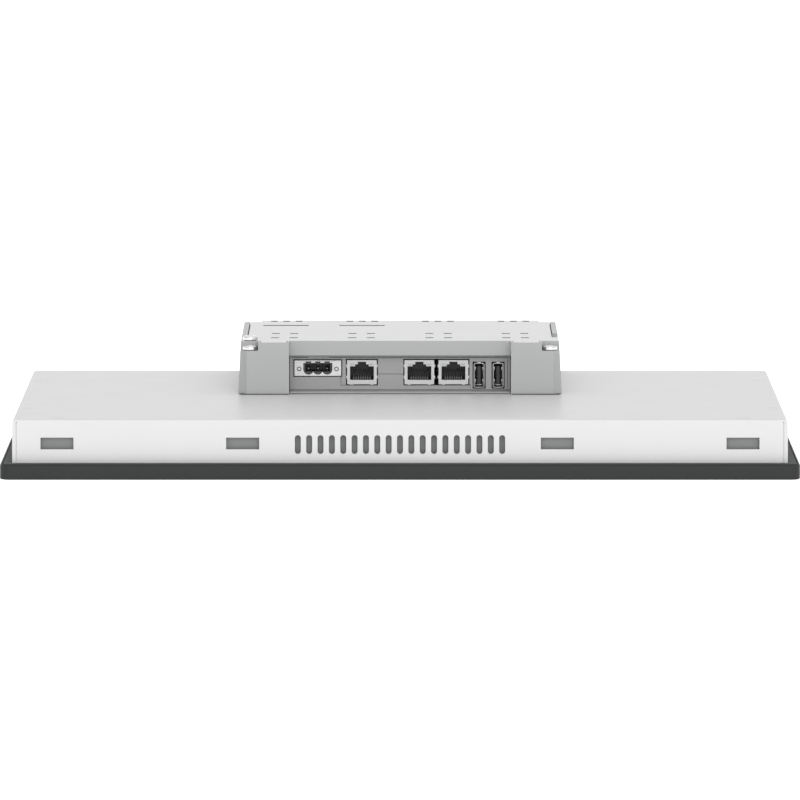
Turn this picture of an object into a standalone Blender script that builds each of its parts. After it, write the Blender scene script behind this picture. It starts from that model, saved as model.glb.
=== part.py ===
"""A flush-mount operator panel: a widescreen touch display with a computer module on its back.

The origin is the centre of the front face. +Z runs out of the back, through the control cabinet,
+X runs along the long side, and -Y is the side that the connectors face.
"""

import math

import bmesh
import bpy
from mathutils import Matrix, Vector

MM = 0.001
CLEAR = 0.3 * MM  # between two pieces that touch on the real panel

# Front frame, from the front face (Z = 0) to the face that seals against the cabinet
BEZEL_WIDTH = 423.0 * MM
BEZEL_HEIGHT = 267.0 * MM
BEZEL_DEPTH = 8.25 * MM
BEZEL_CORNER = 5.5 * MM
BEZEL_CHAMFER = 1.0 * MM  # round its back
BEZEL_FRONT_CHAMFER = 0.4 * MM
BACK_RECESS = 0.9 * MM  # of the frame's back inside its outer rim
BEZEL_RIM = 4.0 * MM  # metal left round the glass
FLANGE = 6.5 * MM  # how far the frame stands out past the housing

# Glass, its adhesive and the touch film
GLASS_THICK = 2.6 * MM
GLASS_RECESS = 0.2 * MM
TAPE_THICK = 0.5 * MM
TAPE_WIDTH = 8.0 * MM
SENSOR_MARGIN = 2.5 * MM  # between the film and the tape

# Display, a 15.6 inch widescreen unit
DISPLAY_MARGIN_X = 29.6 * MM  # from the frame's short edges to the display
DISPLAY_MARGIN_Y = 25.55 * MM  # from its long edges
LCD_CELL_THICK = 2.0 * MM
BACKLIGHT_THICK = 8.4 * MM
LCD_GAP = 1.3 * MM  # between the display and the frame's window
CELL_INSET = 1.5 * MM

# Gasket on the frame's back
GASKET_WIDTH = 4.6 * MM
GASKET_THICK = 0.7 * MM
GASKET_CORNER = 3.0 * MM

# Rear housing, a folded sheet pan
SHEET = 1.5 * MM
HOUSING_BACK = 31.5 * MM  # height of the cover above the front face
BEND_RADIUS = 1.6 * MM
SEAM_WIDTH = 0.5 * MM
SEAM_FOLD = 0.45 * MM  # how far each end wall's fold reaches along the long wall

# Clamp slots and vents in the housing's long walls
SLOT_WIDTH = 17.45 * MM
SLOT_HEIGHT = 6.25 * MM
SLOT_RISE = 7.25 * MM  # above the frame's back
SLOT_INSET = 23.7 * MM  # from the housing's end to the outer slots' middle
SLOT_X_INNER = 83.15 * MM
VENT_COUNT = 19
VENT_PITCH = 6.0 * MM
VENT_WIDTH = 3.25 * MM
VENT_HEIGHT = 10.1 * MM
VENT_RISE = 4.75 * MM  # above the frame's back

# Display carrier, the tray inside the housing that the cover screws into
CARRIER_SHEET = 1.2 * MM
CARRIER_GAP = 1.9 * MM  # between the housing's wall and the tray's wall
CARRIER_WALL_DROP = 6.0 * MM  # from the cover's face to the top of the tray's walls
TAB_WIDTH = 24.0 * MM
TAB_REACH = 10.0 * MM

# Countersunk cover screws
SCREW_INSET_X = 7.1 * MM
SCREW_INSET_Y = 6.6 * MM
SCREW_CORNER_X = 23.7 * MM  # from the housing's end to the outer screws
SCREW_X_INNER = 82.6 * MM
SCREW_CORNER_Y = 55.0 * MM  # from the housing's long walls to the side screws
COVER_HEAD_RADIUS = 3.65 * MM
COVER_HEAD_DEPTH = 1.4 * MM
COVER_SHANK_RADIUS = 1.6 * MM
COVER_SCREW_LENGTH = 6.0 * MM
DRIVE_RADIUS = 1.3 * MM
DRIVE_DEPTH = 1.0 * MM

# Computer module on the back
MODULE_LENGTH = 127.0 * MM
MODULE_BACK_SETBACK = 1.7 * MM  # from the housing's far wall
MODULE_WALL = 3.0 * MM
MODULE_CORNER = 3.2 * MM
MODULE_DRAFT = 1.3 * MM  # how far each side leans out at the foot
CHEEK_WIDTH = 26.3 * MM  # on each side of the connector bay
HEADER_HEIGHT = 8.0 * MM  # over the bay
LID_SHEET = 1.5 * MM
LIP_WIDTH = 1.0 * MM  # of the casting's edge in front of the lid
BASE_SHEET = 0.6 * MM
BASE_LIP_SETBACK = 2.2 * MM  # from the cheeks' front to the lip under the bay

# Connector bay in the module's front
BAY_HEADROOM = 2.85 * MM  # over the tallest connector
BAY_WALL = 2.0 * MM
HEADER_SETBACK = 9.35 * MM
PANEL_SETBACK = 13.7 * MM
PANEL_SHEET = 1.2 * MM
FRAME_SHEET = 0.8 * MM
FRAME_BAND = 1.2 * MM
FRAME_TOP_BAND = 0.8 * MM
PANEL_DROP = 0.35 * MM  # from the frame's top band to the panel's top
FRAME_TAB_OFFSET = 0.47 * MM  # from the power header's middle
FRAME_TAB_WIDTH = 11.5 * MM
FRAME_TAB_DROP = 0.5 * MM

# Corner screws of the module
CORNER_DROP = 4.5 * MM  # from the lid to the floor under the screw
CORNER_SCREW_INSET_X = 5.1 * MM
CORNER_SCREW_INSET_Y = 4.8 * MM
CORNER_ROOM = 0.4 * MM  # between the screw's head and the notch's walls
PAN_HEAD_RADIUS = 4.0 * MM
PAN_HEAD_HEIGHT = 2.3 * MM
M4_SHANK_RADIUS = 1.8 * MM
M4_HOLE_RADIUS = 2.3 * MM
THREAD_REACH = 2.5 * MM  # how far a corner screw passes through the cover
EARTH_SCREW_LENGTH = 8.0 * MM
COLUMN_DEPTH = 20.0 * MM

# Side rails that stand up beside the lid
RAIL_WIDTH = 3.3 * MM
RAIL_START_LEFT = 19.0 * MM
RAIL_START_RIGHT = 53.7 * MM
POCKET_START = 30.0 * MM
POCKET_DEPTH = 2.5 * MM

# Openings in the lid: four groups across
LID_GROUP_X = (-63.2 * MM, -21.1 * MM, 21.1 * MM, 63.2 * MM)
LID_VENT_PITCH = 6.95 * MM
LID_VENT_SIZE = (3.7 * MM, 6.0 * MM)
LID_VENT_SETBACK = 122.0 * MM
LID_SLOT_SIZE = (25.2 * MM, 5.2 * MM)
LID_SLOT_SETBACK = 97.5 * MM
LID_HOLE_SIZE = (4.4 * MM, 4.6 * MM)
LID_HOLE_SPREAD = 5.05 * MM
LID_HOLE_SETBACKS = (28.0 * MM, 51.7 * MM)

# Boards, with the main board hanging over the connectors
BOARD_THICK = 1.6 * MM
BOARD_GAP = 0.35 * MM  # between the board and the tallest connector
STANDOFF_RADIUS = 3.0 * MM
BOARD_MARGIN = 4.0 * MM
PROCESSOR_SIDE = 38.0 * MM
PROCESSOR_THICK = 1.8 * MM
SPREADER_SIDE = 64.0 * MM
COIN_RADIUS = 10.0 * MM
COIN_THICK = 3.2 * MM
HOLDER_WALL = 1.4 * MM
INTERFACE_WIDTH = 130.0 * MM
INTERFACE_HEIGHT = 70.0 * MM
INTERFACE_STANDOFF = 3.0 * MM
CABLE_SETBACK = 65.7 * MM  # from the module's front
CABLE_WIDTH = 30.0 * MM
CABLE_THICK = 0.8 * MM
CABLE_SWAY = 5.0 * MM
CABLE_PORT = (44.0 * MM, 18.0 * MM)
CABLE_SOCKET = (34.0 * MM, 6.0 * MM, 3.0 * MM)

# Three-pole power header, its heights measured from the foot of its flange
POLE_PITCH = 5.08 * MM
POWER_RISE = 8.85 * MM  # from the cover to the flange's foot
POWER_FLANGE_WIDTH = 25.4 * MM
POWER_FLANGE_HEIGHT = 8.35 * MM
POWER_FLANGE_THICK = 1.4 * MM
POWER_LOBE_RADIUS = 2.48 * MM
POWER_AXIS_HEIGHT = 3.4 * MM
POWER_BODY_HEIGHT = 6.75 * MM
POWER_KEY_SIZE = (2.3 * MM, 0.75 * MM)
POWER_DEPTH = 16.0 * MM
POWER_CAVITY_DEPTH = 11.0 * MM
POWER_SILL = 2.25 * MM
POWER_LINTEL = 0.2 * MM
POWER_WALL = 0.8 * MM
POWER_STEP_DROP = 0.75 * MM  # of the flange's front over the socket
POWER_STEP_DEPTH = 0.8 * MM
PIN_SIDE = 1.0 * MM
PIN_SETBACK = 4.6 * MM  # from the header's mouth to the pins' tips
PIN_DROP = 0.9 * MM  # from the middle of the cavity to the pins
LOCK_NUT_OFFSET = 5.08 * MM  # from the outer poles
LOCK_NUT_RISE = 0.35 * MM  # over the middle of the lobes
LOCK_NUT_RADIUS = 1.4 * MM
LOCK_NUT_BORE = 0.8 * MM
LOCK_NUT_TAIL = 4.0 * MM  # behind the flange
LOCK_NUT_BORE_TAIL = 2.0 * MM

# Network sockets
RJ45_RISE = 4.15 * MM  # from the cover to the socket's foot
RJ45_WIDTH = 16.2 * MM
RJ45_HEIGHT = 13.3 * MM
RJ45_DEPTH = 18.0 * MM
RJ45_SILL = 2.45 * MM
RJ45_MOUTH = (12.9 * MM, 7.4 * MM)
RJ45_STEP = (7.3 * MM, 1.1 * MM)  # width, and height over the mouth
RJ45_LATCH = (4.4 * MM, 2.5 * MM)
RJ45_SHEET = 0.4 * MM
RJ45_FACE = 0.6 * MM
RJ45_CAVITY_DEPTH = 14.0 * MM
RJ45_CAVITY_INSET = 0.2 * MM

# Upright USB sockets
USB_RISE = 2.4 * MM
USB_WIDTH = 5.85 * MM
USB_HEIGHT = 13.5 * MM
USB_DEPTH = 14.0 * MM
USB_SHEET = 0.45 * MM
USB_BACK = 2.0 * MM
TONGUE_THICK = 1.9 * MM
TONGUE_SETBACK = 1.2 * MM
TONGUE_MARGIN = 1.3 * MM

# The row of connectors, from the bay's left wall to its right wall
BAY_MARGIN_LEFT = 2.83 * MM
POWER_TO_RJ45 = 3.22 * MM
RJ45_WIDE_GAP = 15.1 * MM
RJ45_GAP = 2.35 * MM
RJ45_TO_USB = 2.975 * MM
USB_GAP = 4.5 * MM
BAY_MARGIN_RIGHT = 3.925 * MM

CONNECTOR_PROUD = 0.6 * MM  # past the connector panel's face
CONNECTOR_GAP = 0.6 * MM  # round each connector in the panel

# Heights and places worked out from the sizes above
HOUSING_WIDTH = BEZEL_WIDTH - 2 * FLANGE
HOUSING_HEIGHT = BEZEL_HEIGHT - 2 * FLANGE
HOUSING_FRONT = BEZEL_DEPTH - BACK_RECESS + CLEAR
COVER_UNDER = HOUSING_BACK - SHEET
GLASS_BACK = GLASS_RECESS + GLASS_THICK
TAPE_FRONT = GLASS_BACK + CLEAR
TAPE_BACK = TAPE_FRONT + TAPE_THICK
CELL_FRONT = TAPE_BACK + CLEAR
BACKLIGHT_FRONT = CELL_FRONT + LCD_CELL_THICK + CLEAR
BACKLIGHT_BACK = BACKLIGHT_FRONT + BACKLIGHT_THICK
CARRIER_FRONT = BACKLIGHT_BACK + CLEAR
CARRIER_BACK = CARRIER_FRONT + CARRIER_SHEET
CARRIER_INSET = SHEET + CARRIER_GAP
CARRIER_WALL_TOP = HOUSING_BACK - CARRIER_WALL_DROP
SLOT_LOW = BEZEL_DEPTH + SLOT_RISE
SLOT_HIGH = SLOT_LOW + SLOT_HEIGHT
SLOT_X_OUTER = HOUSING_WIDTH / 2 - SLOT_INSET
VENT_LOW = BEZEL_DEPTH + VENT_RISE
VENT_HIGH = VENT_LOW + VENT_HEIGHT
SCREW_X_OUTER = HOUSING_WIDTH / 2 - SCREW_CORNER_X
SCREW_Y_SIDE = HOUSING_HEIGHT / 2 - SCREW_CORNER_Y
TAB_TOP = COVER_UNDER - CLEAR
LCD_WIDTH = BEZEL_WIDTH - 2 * DISPLAY_MARGIN_X
LCD_HEIGHT = BEZEL_HEIGHT - 2 * DISPLAY_MARGIN_Y
WINDOW_WIDTH = LCD_WIDTH + 2 * LCD_GAP
WINDOW_HEIGHT = LCD_HEIGHT + 2 * LCD_GAP
GLASS_WIDTH = BEZEL_WIDTH - 2 * (BEZEL_RIM + CLEAR)
GLASS_HEIGHT = BEZEL_HEIGHT - 2 * (BEZEL_RIM + CLEAR)

# The bay takes the row of connectors, and the module goes round the bay
RJ45_LOW = HOUSING_BACK + RJ45_RISE
RJ45_HIGH = RJ45_LOW + RJ45_HEIGHT
RJ45_MOUTH_LOW = RJ45_LOW + RJ45_SILL
RJ45_MOUTH_HIGH = RJ45_MOUTH_LOW + RJ45_MOUTH[1]
USB_LOW = HOUSING_BACK + USB_RISE
USB_HIGH = USB_LOW + USB_HEIGHT
POWER_FLANGE_LOW = HOUSING_BACK + POWER_RISE
POWER_FLANGE_HIGH = POWER_FLANGE_LOW + POWER_FLANGE_HEIGHT
POWER_AXIS = POWER_FLANGE_LOW + POWER_AXIS_HEIGHT
POWER_TOP = POWER_FLANGE_LOW + POWER_BODY_HEIGHT
POWER_CAVITY_LOW = POWER_FLANGE_LOW + POWER_SILL
POWER_CAVITY_HIGH = POWER_TOP - POWER_LINTEL
ROW_LENGTH = (
    BAY_MARGIN_LEFT + POWER_FLANGE_WIDTH + POWER_TO_RJ45
    + 3 * RJ45_WIDTH + RJ45_WIDE_GAP + RJ45_GAP
    + RJ45_TO_USB + 2 * USB_WIDTH + USB_GAP + BAY_MARGIN_RIGHT
)
BAY_HALF = ROW_LENGTH / 2
POWER_X = -BAY_HALF + BAY_MARGIN_LEFT + POWER_FLANGE_WIDTH / 2
RJ45_FIRST = POWER_X + POWER_FLANGE_WIDTH / 2 + POWER_TO_RJ45 + RJ45_WIDTH / 2
RJ45_SECOND = RJ45_FIRST + RJ45_WIDTH + RJ45_WIDE_GAP
RJ45_THIRD = RJ45_SECOND + RJ45_WIDTH + RJ45_GAP
RJ45_X = (RJ45_FIRST, RJ45_SECOND, RJ45_THIRD)
USB_FIRST = RJ45_THIRD + RJ45_WIDTH / 2 + RJ45_TO_USB + USB_WIDTH / 2
USB_X = (USB_FIRST, USB_FIRST + USB_WIDTH + USB_GAP)
BAY_TOP = RJ45_HIGH + BAY_HEADROOM
MODULE_TOP = BAY_TOP + HEADER_HEIGHT
MODULE_HALF = BAY_HALF + CHEEK_WIDTH  # at the lid
FOOT_HALF = MODULE_HALF + MODULE_DRAFT
MODULE_BASE = HOUSING_BACK + CLEAR
MODULE_BACK_Y = HOUSING_HEIGHT / 2 - MODULE_BACK_SETBACK
MODULE_FRONT_Y = MODULE_BACK_Y - MODULE_LENGTH
CORNER_FLOOR = MODULE_TOP - CORNER_DROP
CORNER_NOTCH_X = CORNER_SCREW_INSET_X + PAN_HEAD_RADIUS + CORNER_ROOM
CORNER_NOTCH_Y = CORNER_SCREW_INSET_Y + PAN_HEAD_RADIUS + CORNER_ROOM
EARTH_SCREW_SETBACK = CORNER_NOTCH_Y + PAN_HEAD_RADIUS + CORNER_ROOM
CABLE_Y = MODULE_FRONT_Y + CABLE_SETBACK
LID_UNDER = MODULE_TOP - LID_SHEET
BODY_TOP = LID_UNDER - CLEAR
LID_MAIN_Y = MODULE_FRONT_Y + HEADER_SETBACK + LIP_WIDTH
BASE_TOP = MODULE_BASE + BASE_SHEET
PANEL_Y = MODULE_FRONT_Y + PANEL_SETBACK
PANEL_BACK_Y = PANEL_Y + PANEL_SHEET
FACE_Y = PANEL_Y - CONNECTOR_PROUD
FRAME_TAB_X = POWER_X + FRAME_TAB_OFFSET
LOCK_NUT_REACH = POLE_PITCH + LOCK_NUT_OFFSET
LOCK_NUT_Z = POWER_AXIS + LOCK_NUT_RISE
BOARD_LOW = RJ45_HIGH + BOARD_GAP
BOARD_HIGH = BOARD_LOW + BOARD_THICK
INTERFACE_LOW = CARRIER_BACK + INTERFACE_STANDOFF + CLEAR
INTERFACE_HIGH = INTERFACE_LOW + BOARD_THICK


# Scene, collections and materials

for old in list(bpy.data.objects):
    bpy.data.objects.remove(old, do_unlink=True)

parts = bpy.data.collections.new("hmi_touch_panel")
bpy.context.scene.collection.children.link(parts)
cutters = bpy.data.collections.new("cutters")
bpy.context.scene.collection.children.link(cutters)


def material(name, colour, roughness, metallic=0.0):
    """A plain surface colour, roughness and metallic value."""
    made = bpy.data.materials.new(name)
    made.use_nodes = True
    shader = made.node_tree.nodes["Principled BSDF"]
    shader.inputs["Base Color"].default_value = (*colour, 1.0)
    shader.inputs["Roughness"].default_value = roughness
    shader.inputs["Metallic"].default_value = metallic
    return made


BEZEL_COAT = material("bezel_coat", (0.065, 0.068, 0.067), 0.5)
GLASS = material("black_glass", (0.01, 0.01, 0.012), 0.05)
TAPE = material("black_tape", (0.02, 0.02, 0.02), 0.8)
FILM = material("touch_film", (0.35, 0.38, 0.4), 0.15)
LCD = material("lcd_glass", (0.02, 0.025, 0.03), 0.1)
ZINC = material("zinc_sheet", (0.55, 0.56, 0.57), 0.4, 0.9)
FOAM = material("grey_foam", (0.11, 0.115, 0.12), 0.9)
WHITE_COAT = material("white_coat", (0.75, 0.75, 0.75), 0.5)
GREY_COAT = material("grey_coat", (0.5, 0.51, 0.51), 0.5)
LIGHT_COAT = material("light_coat", (0.77, 0.77, 0.77), 0.5)
SCREW_STEEL = material("screw_steel", (0.7, 0.7, 0.7), 0.25, 1.0)
TINPLATE = material("tinplate", (0.75, 0.75, 0.74), 0.3, 1.0)
BLACK_PLASTIC = material("black_plastic", (0.02, 0.02, 0.02), 0.5)
PALE_PLASTIC = material("pale_plastic", (0.7, 0.7, 0.7), 0.45)
BOARD_GREEN = material("board_green", (0.02, 0.12, 0.05), 0.45)
CHIP = material("chip", (0.03, 0.03, 0.035), 0.4)
ALUMINIUM = material("aluminium", (0.75, 0.76, 0.77), 0.35, 1.0)
RIBBON = material("ribbon_film", (0.75, 0.72, 0.65), 0.5)


# Shapes added to a bmesh

def add_box(shape, low, high):
    """A box between two corners, in any order of their coordinates."""
    low, high = Vector(low), Vector(high)
    size = [abs(end - start) for start, end in zip(low, high)]
    place = Matrix.Translation((low + high) / 2) @ Matrix.Diagonal((*size, 1.0))
    return bmesh.ops.create_cube(shape, size=1.0, matrix=place)["verts"]


def centred_box(shape, width, height, bottom, top, centre=(0.0, 0.0)):
    """A box of this width (X) and height (Y) round a centre, between two levels."""
    x, y = centre
    low = (x - width / 2, y - height / 2, bottom)
    high = (x + width / 2, y + height / 2, top)
    return add_box(shape, low, high)


def round_upright_edges(shape, verts, radius, steps):
    """Rounds the edges of these vertices that run along Z."""
    edges = {edge for vert in verts for edge in vert.link_edges}
    upright = []
    for edge in edges:
        start, end = (vert.co for vert in edge.verts)
        if abs(start.z - end.z) > 0.9 * (start - end).length:
            upright.append(edge)
    bmesh.ops.bevel(
        shape, geom=upright, offset=radius, segments=steps, profile=0.5, affect="EDGES"
    )


def rounded_plate(shape, width, height, bottom, top, radius, steps=4, centre=(0.0, 0.0)):
    """A flat plate with rounded corners."""
    verts = centred_box(shape, width, height, bottom, top, centre)
    round_upright_edges(shape, verts, radius, steps)


def add_cylinder(shape, x, y, bottom, top, radius, top_radius=None, sides=24):
    """A cylinder or a cone along Z."""
    place = Matrix.Translation((x, y, (bottom + top) / 2))
    bmesh.ops.create_cone(
        shape,
        cap_ends=True,
        segments=sides,
        radius1=radius,
        radius2=radius if top_radius is None else top_radius,
        depth=top - bottom,
        matrix=place,
    )


def add_cylinder_y(shape, x, z, front, back, radius, sides=20):
    """A cylinder along Y."""
    turn = Matrix.Rotation(math.radians(90), 4, "X")
    place = Matrix.Translation((x, (front + back) / 2, z)) @ turn
    bmesh.ops.create_cone(
        shape,
        cap_ends=True,
        segments=sides,
        radius1=radius,
        radius2=radius,
        depth=back - front,
        matrix=place,
    )


def add_upright_slot(shape, x, y_middle, depth, width, bottom, top, sides=12):
    """A slot along Y with round ends at its top and bottom."""
    turn = Matrix.Rotation(math.radians(90), 4, "X") @ Matrix.Rotation(math.pi / sides, 4, "Z")
    place = Matrix.Translation((x, y_middle, bottom + width / 2)) @ turn
    made = bmesh.ops.create_cone(
        shape,
        cap_ends=True,
        segments=sides,
        radius1=width / 2,
        radius2=width / 2,
        depth=depth,
        matrix=place,
    )
    upper = [vert for vert in made["verts"] if vert.co.z > bottom + width / 2]
    bmesh.ops.translate(shape, verts=upper, vec=(0.0, 0.0, top - bottom - width))


def new_object(name, shape, collection):
    """Turns a bmesh into an object of this name."""
    bmesh.ops.recalc_face_normals(shape, faces=shape.faces)
    mesh = bpy.data.meshes.new(name)
    shape.to_mesh(mesh)
    shape.free()
    made = bpy.data.objects.new(name, mesh)
    collection.objects.link(made)
    return made


def piece(name, shape, surface):
    """A piece of the panel, which becomes a node."""
    made = new_object(name, shape, parts)
    made.data.materials.append(surface)
    made.data.shade_smooth()
    made.data.set_sharp_from_angle(angle=math.radians(30))
    return made


def helper(name, shape):
    """A cutter or a shape to join, kept out of the model itself."""
    made = new_object(name, shape, cutters)
    made.hide_render = True
    made.display_type = "WIRE"
    return made


def combine(target, other, operation):
    """Cuts a helper from a piece, or joins it on."""
    step = target.modifiers.new(other.name, "BOOLEAN")
    step.operation = operation
    step.object = other
    step.solver = "EXACT"


def cut(target, shape):
    combine(target, helper("cut_" + target.name, shape), "DIFFERENCE")


def join(target, shape):
    combine(target, helper("join_" + target.name, shape), "UNION")


def box_piece(name, low, high, surface):
    shape = bmesh.new()
    add_box(shape, low, high)
    return piece(name, shape, surface)


# Where the screws go

def cover_screw_places():
    """Centres of the cover screws. The module's far corner screws do for two more."""
    y = HOUSING_HEIGHT / 2 - SCREW_INSET_Y
    x = HOUSING_WIDTH / 2 - SCREW_INSET_X
    near = (-SCREW_X_OUTER, -SCREW_X_INNER, SCREW_X_INNER, SCREW_X_OUTER)
    places = [(column, -y) for column in near]
    places += [(column, y) for column in (-SCREW_X_OUTER, SCREW_X_OUTER)]
    places += [(side * x, row) for side in (-1, 1) for row in (-SCREW_Y_SIDE, SCREW_Y_SIDE)]
    return places


def corner_screw_places():
    """Centres of the four screws that hold the module."""
    x = MODULE_HALF - CORNER_SCREW_INSET_X
    near = MODULE_FRONT_Y + CORNER_SCREW_INSET_Y
    far = MODULE_BACK_Y - CORNER_SCREW_INSET_Y
    return [(-x, near), (x, near), (-x, far), (x, far)]


def tab_holes():
    """Centre and radius of the hole in each tab of the display carrier."""
    holes = [(x, y, COVER_SHANK_RADIUS + CLEAR) for x, y in cover_screw_places()]
    holes += [(x, y, M4_SHANK_RADIUS + CLEAR) for x, y in corner_screw_places()[2:]]
    return holes


EARTH_PLACE = (-(MODULE_HALF - CORNER_SCREW_INSET_X), MODULE_FRONT_Y + EARTH_SCREW_SETBACK)


# Front frame with its glass, film and gasket

def make_front_bezel():
    shape = bmesh.new()
    rounded_plate(shape, BEZEL_WIDTH, BEZEL_HEIGHT, 0.0, BEZEL_DEPTH, BEZEL_CORNER, 5)
    rims = []
    for edge in shape.edges:
        start, end = (vert.co for vert in edge.verts)
        if abs(start.z - end.z) < 0.1 * MM:
            rims.append(edge)
    back_rim = [edge for edge in rims if edge.verts[0].co.z > BEZEL_DEPTH / 2]
    front_rim = [edge for edge in rims if edge.verts[0].co.z < BEZEL_DEPTH / 2]
    for rim, size in ((back_rim, BEZEL_CHAMFER), (front_rim, BEZEL_FRONT_CHAMFER)):
        bmesh.ops.bevel(
            shape, geom=rim, offset=size, segments=1, profile=0.5, affect="EDGES"
        )
    bezel = piece("front_bezel", shape, BEZEL_COAT)
    recess = bmesh.new()
    recess_width = HOUSING_WIDTH + 2 * GASKET_WIDTH + 4 * CLEAR
    recess_height = HOUSING_HEIGHT + 2 * GASKET_WIDTH + 4 * CLEAR
    floor = BEZEL_DEPTH - BACK_RECESS
    rounded_plate(
        recess, recess_width, recess_height, floor, 2 * BEZEL_DEPTH, GASKET_CORNER + CLEAR, 3
    )
    cut(bezel, recess)
    hole = bmesh.new()
    pocket_width = BEZEL_WIDTH - 2 * BEZEL_RIM
    pocket_height = BEZEL_HEIGHT - 2 * BEZEL_RIM
    corner = BEZEL_CORNER - BEZEL_RIM
    rounded_plate(hole, pocket_width, pocket_height, -BEZEL_DEPTH, CELL_FRONT, corner)
    cut(bezel, hole)
    window = bmesh.new()
    centred_box(window, WINDOW_WIDTH, WINDOW_HEIGHT, -BEZEL_DEPTH, 2 * BEZEL_DEPTH)
    cut(bezel, window)


def make_glass_stack():
    shape = bmesh.new()
    corner = BEZEL_CORNER - BEZEL_RIM - CLEAR
    rounded_plate(shape, GLASS_WIDTH, GLASS_HEIGHT, GLASS_RECESS, GLASS_BACK, corner)
    piece("cover_glass", shape, GLASS)

    shape = bmesh.new()
    rounded_plate(shape, GLASS_WIDTH, GLASS_HEIGHT, TAPE_FRONT, TAPE_BACK, corner)
    tape = piece("glass_tape", shape, TAPE)
    inner_width = GLASS_WIDTH - 2 * TAPE_WIDTH
    inner_height = GLASS_HEIGHT - 2 * TAPE_WIDTH
    hole = bmesh.new()
    centred_box(hole, inner_width, inner_height, TAPE_FRONT - MM, TAPE_BACK + MM)
    cut(tape, hole)

    shape = bmesh.new()
    film_width = min(WINDOW_WIDTH, inner_width) - 2 * SENSOR_MARGIN
    film_height = min(WINDOW_HEIGHT, inner_height) - 2 * SENSOR_MARGIN
    centred_box(shape, film_width, film_height, TAPE_FRONT, TAPE_BACK)
    piece("touch_sensor", shape, FILM)


def make_display():
    shape = bmesh.new()
    cell_width = LCD_WIDTH - 2 * CELL_INSET
    cell_height = LCD_HEIGHT - 2 * CELL_INSET
    centred_box(shape, cell_width, cell_height, CELL_FRONT, CELL_FRONT + LCD_CELL_THICK)
    piece("lcd_cell", shape, LCD)

    shape = bmesh.new()
    centred_box(shape, LCD_WIDTH, LCD_HEIGHT, BACKLIGHT_FRONT, BACKLIGHT_BACK)
    piece("lcd_backlight", shape, ZINC)


def make_gasket():
    inner_width = HOUSING_WIDTH + 2 * CLEAR
    inner_height = HOUSING_HEIGHT + 2 * CLEAR
    bottom = HOUSING_FRONT
    top = bottom + GASKET_THICK
    shape = bmesh.new()
    outer_width = inner_width + 2 * GASKET_WIDTH
    outer_height = inner_height + 2 * GASKET_WIDTH
    rounded_plate(shape, outer_width, outer_height, bottom, top, GASKET_CORNER, 3)
    gasket = piece("panel_gasket", shape, FOAM)
    hole = bmesh.new()
    centred_box(hole, inner_width, inner_height, bottom - MM, top + MM)
    cut(gasket, hole)


# Rear housing and the tray inside it

def make_rear_housing():
    shape = bmesh.new()
    centred_box(shape, HOUSING_WIDTH, HOUSING_HEIGHT, HOUSING_FRONT, HOUSING_BACK)
    rims = []
    for edge in shape.edges:
        if min(vert.co.z for vert in edge.verts) > COVER_UNDER:
            rims.append(edge)
    bmesh.ops.bevel(
        shape, geom=rims, offset=BEND_RADIUS, segments=2, profile=0.5, affect="EDGES"
    )
    housing = piece("rear_housing", shape, WHITE_COAT)

    inside = bmesh.new()
    width = HOUSING_WIDTH - 2 * SHEET
    height = HOUSING_HEIGHT - 2 * SHEET
    centred_box(inside, width, height, HOUSING_FRONT - SHEET, COVER_UNDER)
    cut(housing, inside)

    openings = bmesh.new()
    wall_y = HOUSING_HEIGHT / 2 - SHEET / 2
    for side in (-1, 1):
        y = side * wall_y
        for x in (-SLOT_X_OUTER, -SLOT_X_INNER, SLOT_X_INNER, SLOT_X_OUTER):
            low = (x - SLOT_WIDTH / 2, y - SHEET, SLOT_LOW)
            high = (x + SLOT_WIDTH / 2, y + SHEET, SLOT_HIGH)
            add_box(openings, low, high)
        for index in range(VENT_COUNT):
            x = (index - (VENT_COUNT - 1) / 2) * VENT_PITCH
            add_upright_slot(openings, x, y, 2 * SHEET, VENT_WIDTH, VENT_LOW, VENT_HIGH)
        for end in (-1, 1):
            inner = end * (HOUSING_WIDTH / 2 - SHEET)
            fold = inner - end * SEAM_FOLD
            low = (fold - end * SEAM_WIDTH, y - SHEET / 2 - MM, HOUSING_FRONT - MM)
            high = (fold, y + SHEET / 2 + MM, HOUSING_BACK - BEND_RADIUS)
            add_box(openings, low, high)
    cut(housing, openings)

    holes = bmesh.new()
    spread = CLEAR + SHEET
    for x, y in cover_screw_places():
        add_cylinder(
            holes,
            x,
            y,
            HOUSING_BACK - SHEET - MM,
            HOUSING_BACK + SHEET,
            COVER_HEAD_RADIUS + CLEAR - SHEET - MM,
            COVER_HEAD_RADIUS + spread,
        )
    for x, y in corner_screw_places():
        add_cylinder(holes, x, y, COVER_UNDER - SHEET, MODULE_BASE, M4_SHANK_RADIUS + CLEAR)
    port_width, port_height = CABLE_PORT
    centred_box(
        holes, port_width, port_height, COVER_UNDER - SHEET, MODULE_BASE, (0.0, CABLE_Y)
    )
    cut(housing, holes)


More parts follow.
